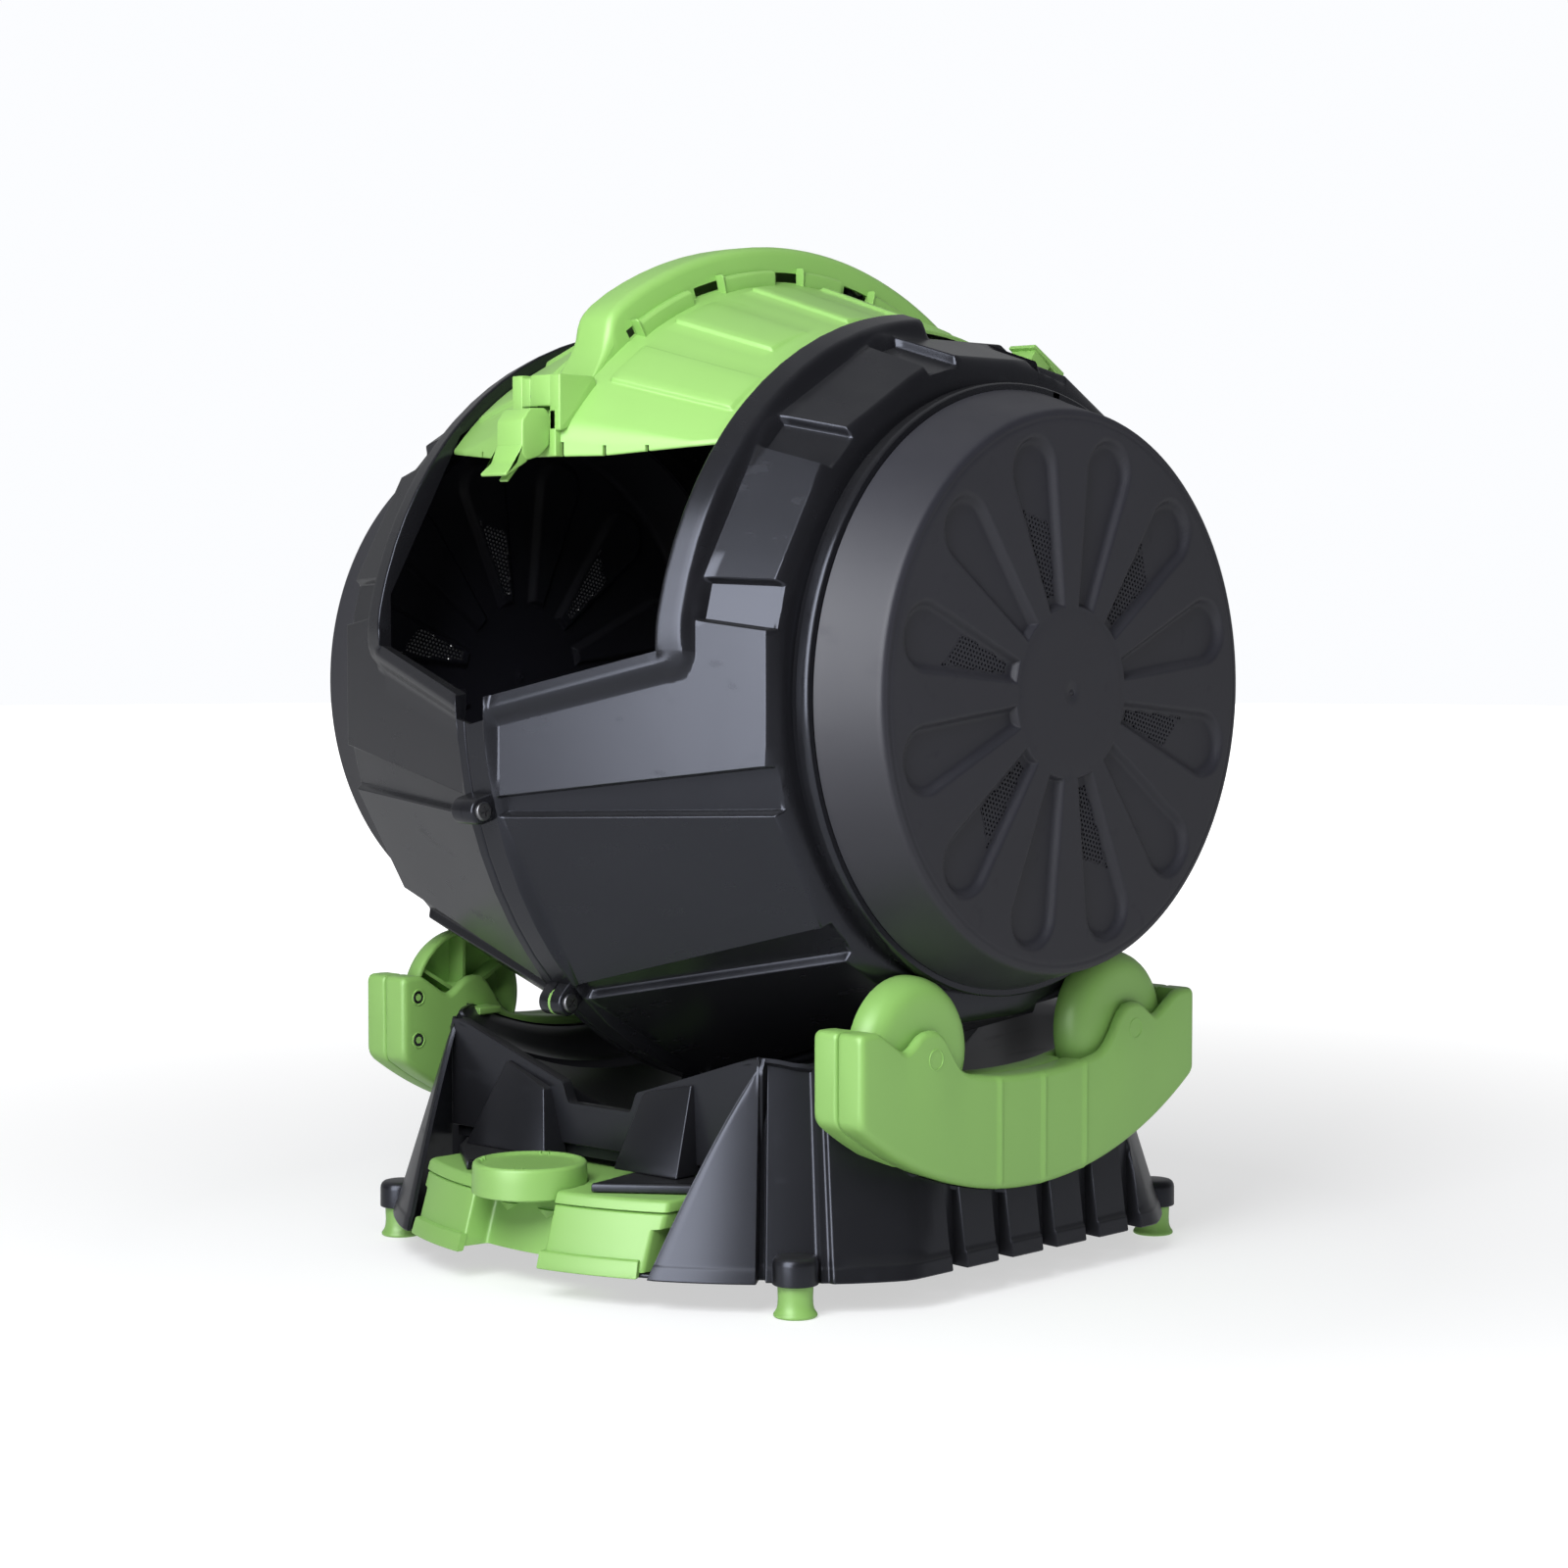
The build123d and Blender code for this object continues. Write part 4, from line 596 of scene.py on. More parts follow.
def vent_grid(made, petal, side):
    """Fine grille: six-sided cells with round holes on a regular lattice, front, bore,
    back and outer edge."""
    pitch = 4.3
    hole = 1.3
    top = FACE_W - PETAL_SUNK + 0.25
    row, col = np.meshgrid(np.arange(-14, 15), np.arange(15, 44), indexing="ij")
    x = row * pitch * math.sqrt(3) / 2.0
    y = (col + 0.5 * np.mod(row, 2)) * pitch
    r, turn = np.hypot(x, y), np.arctan2(x, y)
    keep = (petal_edge(r, turn) < -5.0) & (r > VENT_IN_R) & (r < VENT_OUT_R - VENT_SLANT * x)
    corner = np.radians(np.arange(0.0, 360.0, 30.0))
    reach = np.where(np.arange(12) % 2 == 0, pitch / math.sqrt(3), pitch / 2.0)
    cell = np.stack([reach * np.cos(corner), reach * np.sin(corner)], -1)
    bore = hole * np.stack([np.cos(corner), np.sin(corner)], -1)
    middle = np.stack([x[keep], y[keep]], -1)
    rings = np.stack([
        np.broadcast_to(cell, (len(middle), 12, 2)), np.broadcast_to(bore, (len(middle), 12, 2)),
        np.broadcast_to(bore, (len(middle), 12, 2)), np.broadcast_to(cell, (len(middle), 12, 2)),
    ], 1) + middle[:, None, None, :]
    depth = np.array([top, top, top - 3.0, top - 3.0])[None, :, None]
    angle = petal + np.degrees(np.arctan2(rings[..., 0], rings[..., 1]))
    points = drum_point(np.hypot(rings[..., 0], rings[..., 1]), angle,
                        side * np.broadcast_to(depth, rings.shape[:3]))
    index = made.add(points).reshape(len(middle), 4, 12)
    after = np.roll(index, -1, axis=2)
    for a, b in ((0, 1), (1, 2), (2, 3)):
        quads = np.stack([index[:, a], index[:, b], after[:, b], after[:, a]], -1)
        made.faces += quads.reshape(-1, 4).tolist()
    filled = np.zeros((row.shape[0] + 2, row.shape[1] + 2), bool)
    filled[1:-1, 1:-1] = keep
    cells = np.argwhere(keep)
    odd = np.mod(row[keep], 2)
    moves = {0: (1, None, "half"), 2: (0, 1, None), 4: (-1, None, "half"),
             6: (-1, None, "back"), 8: (0, -1, None), 10: (1, None, "back")}
    for start, (drow, dcol, kind) in moves.items():
        if kind == "half":
            shift = odd
        elif kind == "back":
            shift = odd - 1
        else:
            shift = np.full(len(cells), dcol)
        bare = ~filled[cells[:, 0] + 1 + drow, cells[:, 1] + 1 + shift]
        for part in (start, (start + 1) % 12):
            quad = np.stack([index[:, 0, part], after[:, 0, part], after[:, 3, part], index[:, 3, part]], -1)
            made.faces += quad[bare].tolist()


for side, label in ((-1, "left"), (1, "right")):
    cap = cap_shell(side)
    for petal in VENT_PETALS:
        vent_grid(cap, petal, side)
    finish_piece("end_cap_face_" + label, cap, "drum", CAP_BLACK, ["end_cap_" + label],
                 crease=50.0)


# Door, its rear clips and the latch
FIN_HALF = 23.5
FIN_FOOT = 20.5
PADS = ((47.3, 160.0), (62.4, 143.0), (78.6, 150.0), (93.0, 161.0))
WINDOWS = ((56.9, 0.8), (72.9, 2.6), (89.2, 2.5), (103.5, 2.6))
CURBS = ((57.9, 68.5), (75.2, 85.2), (91.2, 99.0), (106.2, 114.0))
SLITS = (26.0, 65.0, 104.0)
SLIT_ROWS = 7
SLIT_HALF = 1.7
DOOR_TRAIL = 123.0


def door_r(w):
    """Radius of the door skin: a cone that falls off from the middle to both sides."""
    return 372.2 - 0.32 * np.abs(w)


def door_face(w):
    """Distance of the upright lip in front of the axis:
    straight lines that run back from the middle to both sides."""
    return 295.0 - 0.317 * np.abs(w)


def door_outside(phi, w):
    """Door skin with four shingle pads and rounded side edges."""
    w = np.abs(w)
    r = door_r(w) + 0.0 * phi
    for start, reach in PADS:
        across = ease((w - 39.0) / 3.4) * (1.0 - ease((w - reach + 2.0) / 3.4))
        along = (phi - start) / 8.6
        slope = 3.6 - 2.6 * np.clip(along, 0.0, 1.0)
        r = r + slope * ease(along / 0.055) * (1.0 - ease((along - 0.955) / 0.045)) * across
    return r - 1.0 * ease((w - 172.2) / 1.4) ** 2


def lip_rows(w):
    """Front distance and height of the upright lip, and the angle where its parabolic bend meets the skin."""
    nip = (-23.28 + 0.2535 * np.abs(w) + 0.6053 * door_face(w)) / 0.796
    low = np.maximum(nip, 200.0)
    top = np.maximum(np.sqrt(door_r(w) ** 2 - door_face(w) ** 2), low + 4.0)
    front = np.sqrt(door_r(w) ** 2 - top ** 2)
    bend = np.minimum(11.0, 0.55 * (top - low))
    levels = np.concatenate([[0.0, 0.6, 1.4], np.linspace(2.4, 11.0, 4), [12.2, 13.4, 14.4]])[:, None]
    height = np.minimum(low + levels, top - bend - 0.2 + 0.01 * levels)
    depth = front - 0.7 * np.clip(1.0 - (height - low) / 1.4, 0.0, 1.0) ** 2
    meet = np.arctan2(top, front) + bend / door_r(w)
    t = np.linspace(0.0, 1.0, 8)[:, None]
    arc_y = front * (1.0 - t ** 2) + door_r(w) * np.cos(meet) * t ** 2
    arc_z = (top - bend) * (1.0 - t) ** 2 + 2.0 * top * t * (1.0 - t) + door_r(w) * np.sin(meet) * t ** 2
    return np.vstack([depth, arc_y]), np.vstack([height, arc_z]), np.degrees(meet)


def door_skin(made):
    """Upright lip and cone skin on one grid, open under the fin, with an underside and closed edges."""
    around_slit = np.array([-2.6, -1.7, -1.2, -0.6, 0.0, 0.6, 1.2, 1.7, 2.6])
    half = np.concatenate([[0, 8, 14, 17.5, FIN_FOOT], SLITS[0] + around_slit,
                           [33, 38.6, 39.6, 40.6, 41.6, 42.6, 52],
                           SLITS[1] + around_slit, [84], SLITS[2] + around_slit,
                           [122, 140.8, 142, 143.2, 144.4, 147.8, 149, 150.2, 151.4, 157.8, 159, 160.2,
                            161.4, 162.6], 167.5 + around_slit,
                           [171.6, 172.4, 173.0, 173.4, 173.6]])
    w = np.concatenate([-half[:0:-1], half])
    level = np.ones_like(w)
    depth, height, lead = lip_rows(w)
    lip_out_r, lip_out_phi = np.hypot(depth, height), np.degrees(np.arctan2(height, depth))
    back = np.max(depth, 0) - 3.2 + 0.0 * height
    lip_in_r, lip_in_phi = np.hypot(back, height), np.degrees(np.arctan2(height, back))
    inch = np.degrees(1.0 / door_r(w))
    knots = [lead + 0.8 * inch, lead + 3.2 * inch, 46.2 * level, 47.0 * level]
    counts = [3, 5, 2]
    for start, _ in PADS:
        knots += [start * level, (start + 0.48) * level, (start + 8.2) * level, (start + 8.6) * level]
        counts += [3 if start > 48 else 1, 4, 5, 4]
    knots += [(DOOR_TRAIL - 0.3) * level, DOOR_TRAIL * level]
    counts += [8, 2]
    phi = spread(knots, counts)
    across = np.broadcast_to(w, phi.shape)
    skin_r = door_outside(phi, across)
    outside_r, outside_phi = np.vstack([lip_out_r, skin_r]), np.vstack([lip_out_phi, phi])
    inside_r = np.vstack([lip_in_r, door_r(across) - 3.6])
    beyond = lip_in_phi[-1] + 0.02 * np.arange(1, len(phi) + 1)[:, None]
    inside_phi = np.vstack([lip_in_phi, np.maximum(phi, beyond)])
    inside_r = np.minimum(inside_r, door_r(w) - 3.6)
    across = np.broadcast_to(w, outside_phi.shape)
    outside = drum_point(outside_r, outside_phi, across)
    inside = drum_point(inside_r, inside_phi, across)
    start_row = len(lip_out_r) + sum(counts[:3])
    left, right = int(np.argmin(np.abs(w + FIN_FOOT))), int(np.argmin(np.abs(w - FIN_FOOT)))
    under_fin = np.zeros((outside_phi.shape[0] - 1, outside_phi.shape[1] - 1), bool)
    under_fin[start_row:, left:right] = True
    last = 0
    for slit in (-SLITS[2], -SLITS[1], -SLITS[0], *SLITS):
        first, end = (int(np.argmin(np.abs(w - slit - way * SLIT_HALF))) for way in (-1.0, 1.0))
        under_fin[:SLIT_ROWS, first:end] = True
        made.join(outside[0, last:first + 1], inside[0, last:first + 1])
        made.join(outside[SLIT_ROWS, first:end + 1], inside[SLIT_ROWS, first:end + 1])
        for column in (first, end):
            made.join(outside[:SLIT_ROWS + 1, column], inside[:SLIT_ROWS + 1, column])
        last = end
    made.join(outside[0, last:], inside[0, last:])
    made.lay(outside, leave=under_fin)
    made.lay(inside, leave=under_fin)
    for column in (0, -1):
        made.join(outside[:, column], inside[:, column])
    made.join(outside[-1, :left + 1], inside[-1, :left + 1])
    made.join(outside[-1, right:], inside[-1, right:])
    made.join(outside[start_row, left:right + 1], inside[start_row, left:right + 1])
    for column in (left, right):
        made.join(outside[start_row:, column], inside[start_row:, column])


def fin_top(phi):
    """Radius of the fin's ridge: it sweeps up from the door in a hollow curve and then stays level."""
    turn = (46.0, 47.5, 49.6, 51.0, 52.0, 53.0, 53.7, 54.5, 55.2, 56.0, 57.5, 60.0)
    ridge = (363.0, 365.8, 369.6, 372.8, 376.0, 380.6, 384.6, 389.5, 392.5, 394.6, 396.3, 397.2)
    return np.interp(phi, turn, ridge)


def door_fin(made):
    """Hollow fin: a U section with rounded shoulders swept along the ridge line,
    with windows in both sides."""
    edges = [46.0, 47.5, 51.0, 54.5, 56.1]
    counts = [2, 5, 8, 5]
    for window, wide in WINDOWS:
        edges += [window - wide, window + wide]
        counts += [1 if window < 60 else 4, 4]
    edges += [DOOR_TRAIL]
    counts += [8]
    phi = steps(edges, counts)
    top = fin_top(phi)
    base = door_r(FIN_HALF) - 2.5
    soft = np.minimum(8.5, 0.45 * np.maximum(top - base, 0.2))
    bend = np.linspace(0.0, math.pi / 2.0, 6)[:, None]

    def section(half, ridge, foot, round_by):
        sill, head = np.minimum(365.0, ridge - round_by), np.minimum(374.0, ridge - round_by)
        side_r = [foot + 0 * ridge, sill, head]
        side_w = [half + 0 * ridge, half - 0.1 + 0 * ridge, half - 0.2 + 0 * ridge]
        round_r = ridge - round_by + round_by * np.sin(bend)
        round_w = half - 0.6 - round_by + round_by * np.cos(bend)
        r = np.vstack(side_r + [round_r, ridge[None] + 0.25])
        w = np.vstack(side_w + [round_w, 0.0 * ridge[None]])
        return np.vstack([r, r[-2::-1]]), np.vstack([w, -w[-2::-1]])

    out_r, out_w = section(FIN_HALF, top, base, soft)
    inner_top = np.maximum(fin_top(phi - 0.5) - 3.6, base + 0.4)
    in_r, in_w = section(FIN_HALF - 3.0, inner_top, base, np.minimum(2.0, 0.45 * (inner_top - base)))
    outside, inside = drum_point(out_r, phi[None], out_w), drum_point(in_r, phi[None], in_w)
    gaps = np.zeros((out_r.shape[0] - 1, len(phi) - 1), bool)
    middle = 0.5 * (phi[1:] + phi[:-1])
    for window, wide in WINDOWS:
        gaps[1, np.abs(middle - window) < wide] = True
        gaps[-2, np.abs(middle - window) < wide] = True
    made.lay(outside, leave=gaps)
    made.lay(inside, leave=gaps)
    for column in (0, -1):
        made.join(outside[:, column], inside[:, column])
    for row in (0, -1):
        made.join(outside[row], inside[row])
    for window, wide in WINDOWS:
        cols = np.flatnonzero(np.abs(phi - window) < wide + 1e-6)
        for low, high in ((1, 2), (-3, -2)):
            made.join(outside[low, cols], inside[low, cols])
            made.join(outside[high, cols], inside[high, cols])
            for column in (cols[0], cols[-1]):
                made.join(outside[[low, high], column], inside[[low, high], column])


def door_curb(made, start, end, side):
    """A ledge beside the fin with a chamfered back and a thin plate, a little proud, at its front end."""
    ledge = np.array([[357.5, 23.0], [375.6, 23.0], [375.6, 29.6], [373.0, 32.0], [357.5, 32.0]])
    plate = np.array([[357.0, 23.0], [379.0, 23.0], [379.0, 30.2], [377.0, 32.6], [357.0, 32.6]])
    for low, high, section in ((start - 0.3, start, plate), (start - 0.1, end, ledge)):
        outline = soften(section, 0.8, 2)
        rings = []
        for phi, inset in ((low, 0.5), (low + 0.08, 0.0),
                           *((p, 0.0) for p in np.linspace(low, high, 9)[1:-1]),
                           (high - 0.08, 0.0), (high, 0.5)):
            line = shrink(outline, inset)
            rings.append(drum_point(line[:, 0], phi, side * line[:, 1]))
        loft(made, rings)


def latch_frame(made):
    """Upright frame: two cheeks and a split head between them, standing on the door."""
    sole = polar([(362.0, 46.4), (361.5, 44.0), (361.2, 41.0), (361.0, 38.4)])
    cheek = soften(np.vstack([[(-293.0, 733.5), (-293.0, 782.0), (-253.0, 781.4)], sole]), 2.0)
    head = soften(np.vstack([[(-293.0, 754.5), (-293.0, 782.0), (-254.0, 781.2)],
                             polar([(365.0, 46.4), (364.0, 42.4)])]), 2.0)
    low_head = soften(np.vstack([[(-292.6, 754.5), (-292.6, 779.6), (-254.0, 778.8)],
                                 polar([(365.0, 46.4), (364.0, 42.4)])]), 2.0)
    leg = soften(np.array([(-293.0, 712.0), (-293.0, 752.0), (-285.5, 752.0), (-285.5, 712.0)]), 1.2)
    for way in (-1, 1):
        block(made, cheek, along_x, way * 17.4, way * 30.2, (0.8, 1.2))
        block(made, leg, along_x, way * 16.9, way * 24.6, (0.4, 0.8))
    block(made, head, along_x, -6.6, 17.8, (0.7, 0.3))
    block(made, low_head, along_x, -17.8, -7.2, (0.3, 0.7))


def latch_lever(made):
    """Lever: a body with a sloping head, a thumb lip that flares out and a hooked barb behind it."""
    body = soften(np.array([(-323.0, 742.0), (-314.0, 752.5), (-296.0, 753.0), (-290.5, 745.0),
                            (-292.0, 722.0), (-303.0, 712.0), (-318.0, 708.0), (-323.5, 713.0)]), 2.5)
    lip = soften(np.array([(-323.4, 722.0), (-318.0, 716.0), (-316.5, 707.5), (-327.0, 702.0),
                           (-341.0, 694.2), (-342.6, 696.8), (-330.0, 706.5)]), 2.4)
    barb = soften(np.array([(-306.0, 714.0), (-316.0, 714.0), (-321.5, 703.0), (-331.0, 691.6),
                            (-329.5, 689.8), (-319.0, 700.6)]), 1.4)
    block(made, body, along_x, -16.4, 16.4, (1.6, 1.6))
    block(made, lip, along_x, -16.0, 16.0, (1.2, 1.2))
    block(made, barb, along_x, -5.0, 5.0, (0.8, 0.8))


def rear_clip(made, side):
    """Clip on the trailing edge: an upright web with a thin bent plate on top."""
    foot = door_r(139.6)
    web = soften(polar([(foot - 9.0, 118.4), (foot + 25.0, 119.4), (foot + 23.0, 123.6),
                        (foot - 9.0, 122.6)]), 1.2)
    plate = soften(polar([(foot + 24.0, 118.6), (foot + 28.0, 118.8), (foot + 30.4, 126.6),
                          (foot + 24.4, 127.0), (foot + 22.6, 125.2), (foot + 23.6, 122.6)]), 1.0)
    block(made, web, along_x, side * 140.6, side * 168.6, (0.9, 0.9))
    block(made, plate, along_x, side * 139.6, side * 169.6, (0.7, 0.7))


door = Moulding()
door_skin(door)
door_fin(door)
for side in (-1, 1):
    for first, last in CURBS:
        door_curb(door, first, last, side)
finish_piece("door_shell", door, "door", LIME, ["door_left", "door_right"], crease=40.0)
clips = Moulding()
for side in (-1, 1):
    rear_clip(clips, side)
finish_piece("rear_clips", clips, "door", LIME, ["door_clips"])
frame_block = Moulding()
latch_frame(frame_block)
finish_piece("latch_stand", frame_block, "door", LIME, ["latch_frame"])
lever = Moulding()
latch_lever(lever)
finish_piece("latch_handle", lever, "latch", LIME, ["latch_lever"])


# Rollers and their brackets
ROLLER_Y = 135.7
ROLLER_Z = 211.2
SPLIT_X = 287.5
BRACKET_END_Y = 226.0
SEAT_MIDDLE_Z = 463.0
SEAT_R = 378.0
CREASES = (-47.5, 11.5, 68.5)
SCREWS = ((208.0, 218.0), (208.0, 178.0), (72.0, 112.0))


def roller(made, side, y):
    """Wheel turned about x: domed outer face with a broad rounded shoulder, open inner side with six ribs."""
    profile = np.array([(6.2, 304.2), (12, 304.2), (14, 303.6), (30, 303.4), (44, 302.9), (50, 302.2),
                        (54.5, 300.8), (58.3, 298.4), (61.4, 295), (63.7, 290.8), (65, 286.5), (65.6, 282),
                        (65.6, 277.2), (65, 275.2), (63.6, 274.1), (61.6, 274), (60.6, 274.8), (60.6, 290),
                        (57, 296), (50, 298.4), (13.5, 298.6), (13, 297), (13, 272.4), (12, 271.2),
                        (6.2, 271.2)])
    turned_ring(made, profile * [1.0, side], (y, ROLLER_Z), 72)
    for k in range(6):
        a = math.radians(60.0 * k + 30.0)
        out, across = np.array([0, math.cos(a), math.sin(a)]), np.array([0, -math.sin(a), math.cos(a)])
        rings = []
        for half in (-1.7, 1.7):
            corners = np.array([(12.0, 279.0), (61.2, 277.5), (61.2, 289.5), (57.0, 296.2), (50.0, 298.8),
                                (12.0, 299.0)])
            ring = corners[:, :1] * out + half * across + np.array([0.0, y, ROLLER_Z])
            ring[:, 0] = side * corners[:, 1]
            rings.append(ring)
        loft(made, rings)


def pocket_z(y):
    """Height of the curved seat of a bracket."""
    return SEAT_MIDDLE_Z - np.sqrt(SEAT_R ** 2 - np.minimum(np.abs(y), 300.0) ** 2)


def bracket_top(y):
    """Height of the bracket's upper edge: raised ends, a dip,
    a round hump over each axle and a low middle."""
    knots = np.array([0, 20, 40, 60, 78, 88, 95, 102, 109, 115, 121, 128, 136, 144, 151, 157, 163, 168, 173,
                      178, 185, 193, 199, 204, 210, 227.0])
    heights = np.array([183.5, 183.8, 184.8, 187, 189.8, 192, 195, 200.5, 209, 218, 226.5, 231.5, 233,
                        232.4, 229.5, 224.8, 220.5, 218.6, 219.4, 222.2, 226.8, 232, 235.8, 237.6, 238,
                        238.0])
    return np.interp(np.abs(y), knots, heights)


def bracket_half(made, side, outer):
    """One bracket half: closed cross-sections along y, rounded outwards, cut away where the rollers sit."""
    way, slot = (1.0, 18.0) if outer else (-1.0, 17.5)
    y = np.unique(np.concatenate([
        np.array([-226, -225.6, -224.6, -223, -220.5, 220.5, 223, 224.6, 225.6, 226]),
        np.arange(-216.0, 217.0, 4.0), [-205.2, -205.1, -67.1, -67.0, 67.0, 67.1, 205.1, 205.2],
        np.concatenate([c + np.array([-8, -6, -4, -2, -0.8, -0.2, 0.4, 1.0, 1.8]) for c in CREASES]),
        np.arange(100.0, 180.0, 2.0), np.arange(-180.0, -98.0, 2.0)]))
    end = np.clip((np.abs(y) - (BRACKET_END_Y - 5.5)) / 5.5, 0.0, 1.0)
    fall = 5.5 * (1.0 - np.sqrt(1.0 - end ** 2))
    top = bracket_top(y) - fall
    low = pocket_z(y) + fall
    face = 27.5 - 0.9 * fall
    if outer:
        for crease in CREASES:
            past = y - crease
            face = face + np.where(past < 0.0, 1.3 * ease((past + 8.0) / 7.6), 0.0)
            face = face - 1.1 * np.exp(-((past - 0.5) / 0.55) ** 2)
        face = np.minimum(face, 27.5 + 1.3)
    seat = (np.abs(np.abs(y) - ROLLER_Y) < 69.45) * 1.0
    shelf = np.where(seat > 0, slot, 0.0)
    floor = ROLLER_Z - np.sqrt(np.clip(70.0 ** 2 - (np.abs(y) - ROLLER_Y) ** 2, 0.0, None))
    floor = np.where(seat > 0, np.minimum(floor, top - 4.0), top - 4.0)
    bend = np.linspace(0.0, math.pi / 2.0, 7)[:, None]
    round_low, round_top = 8.0, 6.0
    split = (0.25 + 0.5 * fall)[None]
    out = [split, split + 0.8, split + 2.8,
           face - round_low + round_low * np.sin(bend), face - round_top + round_top * np.cos(bend),
           shelf + split + 2.8, shelf + split + 0.8, shelf + split, shelf + split, split]
    up = [(low + 2.8)[None], (low + 0.8)[None], low[None], low + round_low - round_low * np.cos(bend),
          top - round_top + round_top * np.sin(bend),
          top[None], (top - 0.8)[None], (top - 2.8)[None], floor[None], floor[None]]
    out, up = np.vstack(out), np.vstack(up)
    rings = np.stack([side * (SPLIT_X + way * out), np.broadcast_to(y, out.shape), up], -1)
    loft(made, np.swapaxes(rings, 0, 1))
    if outer:
        for axle_y in (-ROLLER_Y, ROLLER_Y):
            ring = np.array([(7.6, 314.4), (7.9, 315.3), (8.6, 315.6), (9.3, 315.3), (9.6, 314.4)])
            turned_ring(made, ring * [1.0, side], (axle_y + 2.5, ROLLER_Z - 2.5), 40)
    else:
        for hook_y in (-ROLLER_Y, ROLLER_Y):
            hook = soften(np.array([(hook_y - 14, 197.5), (hook_y + 14, 197.5), (hook_y + 14, 204.5),
                                    (hook_y - 14, 204.5)]), 2)
            block(made, hook, along_x, side * 240.0, side * 261.5, (1.5, 0.2))
        for y0, z0 in SCREWS:
            for flip in (-1, 1):
                rim = np.array([(6.2, 261.2), (6.2, 259.6), (6.9, 259.2), (7.8, 259.5), (8.2, 261.2)])
                turned_ring(made, rim * [1.0, side], (flip * y0, z0), 32)


def screw_head(made, side, y, z):
    """Dished screw head turned about x: a rounded edge, a sunk middle and a back inside the bracket."""
    profile = np.array([(0.01, 262.4), (6.1, 262.4), (6.1, 260.2), (5.6, 259.75), (4.6, 259.6),
                        (3.6, 259.8), (2.2, 260.6), (0.01, 260.8)])
    turned_ring(made, profile * [1.0, side], (y, z), 32)


heads = Moulding()
for side in (-1, 1):
    for screw_y, screw_z in SCREWS:
        screw_head(heads, side, -screw_y, screw_z)
        screw_head(heads, side, screw_y, screw_z)
finish_piece("bracket_screw_heads", heads, "base", ZINC, ["bracket_screws"], crease=35.0)
for side, label in ((-1, "left"), (1, "right")):
    for outer, place in ((True, "outer"), (False, "inner")):
        half = Moulding()
        bracket_half(half, side, outer)
        finish_piece("bracket_%s_half_%s" % (place, label), half, "base", LIME,
                     ["bracket_%s_%s" % (place, label)], crease=35.0)
    for y, end in ((-ROLLER_Y, "front"), (ROLLER_Y, "back")):
        wheel = Moulding()
        roller(wheel, side, y)
        finish_piece("wheel_%s_%s" % (label, end), wheel, "roller_%s_%s_body" % (label, end), LIME,
                     ["roller_%s_%s" % (label, end)], crease=35.0)


# Feet
BASE_Y = 6.0
FOOT_CIRCLE_R = 350.0
FOOT_ANGLES = (46.0, -46.0, 134.0, -134.0)
FEET = [(FOOT_CIRCLE_R * math.sin(math.radians(angle)),
         BASE_Y - FOOT_CIRCLE_R * math.cos(math.radians(angle)))
        for angle in FOOT_ANGLES]


def foot(made, x, y):
    """Foot turned about an upright axis: flared flange, waisted stem and a peg up into the cup."""
    profile = np.array([(0.01, 0.0), (17.4, 0.0), (18.3, 0.7), (18.5, 1.8), (18.0, 3.0), (16.9, 4.4),
                        (15.6, 6.8), (14.9, 10.0), (14.6, 15.0), (14.9, 24.0), (15.0, 26.6), (12.0, 26.9),
                        (12.0, 41.4), (0.01, 42.0)])
    turned_up(made, profile, x, y, 48)


feet = Moulding()
for foot_x, foot_y in FEET:
    foot(feet, foot_x, foot_y)
finish_piece("feet_turned", feet, "base", LIME, ["feet"], crease=50.0)


# Tank, lid and cap
GRIP_DEPTH = 24.0
CAP_BAY_R = 51.2
CAP_Y = -304.0
CAP_DROP = 7.6


def cone_r(z, inset):
    """Radius of the base's cone at height z, moved in by inset."""
    return 355.0 - 0.313 * (z - 27.0) - inset


def tank_ring(z, half, inset, grip, bay=0.0):
    """Plan of the tank at one height: straight back and ends,
    a curved front with a hand recess or a round bay."""
    def front(x, deeper=0.0):
        return BASE_Y - np.sqrt((cone_r(z, inset) - deeper) ** 2 - x ** 2)

    wing = np.linspace(half, 50.5, 9)
    hollow = np.linspace(46.5, -46.5, 9)
    right = np.stack([wing, front(wing)], -1)
    middle = np.stack([hollow, front(hollow, grip)], -1)
    if bay:
        swing = np.radians(np.linspace(2.0, 178.0, 9))
        middle = np.stack([bay * np.cos(swing), CAP_Y + bay * np.sin(swing)], -1)
    left = np.stack([-wing[::-1], front(wing[::-1])], -1)
    plan = np.vstack([[(-half, -121.0), (half, -121.0)], right, middle, left])
    radius = np.zeros(len(plan))
    radius[[0, 1]] = 4.0
    radius[[2, -1]] = 3.5
    radius[[10, -9]] = 3.0
    radius[[11, -10]] = 4.0
    line = soften(plan, radius, 4)
    return np.stack([line[:, 0], line[:, 1], np.full(len(line), z)], -1)


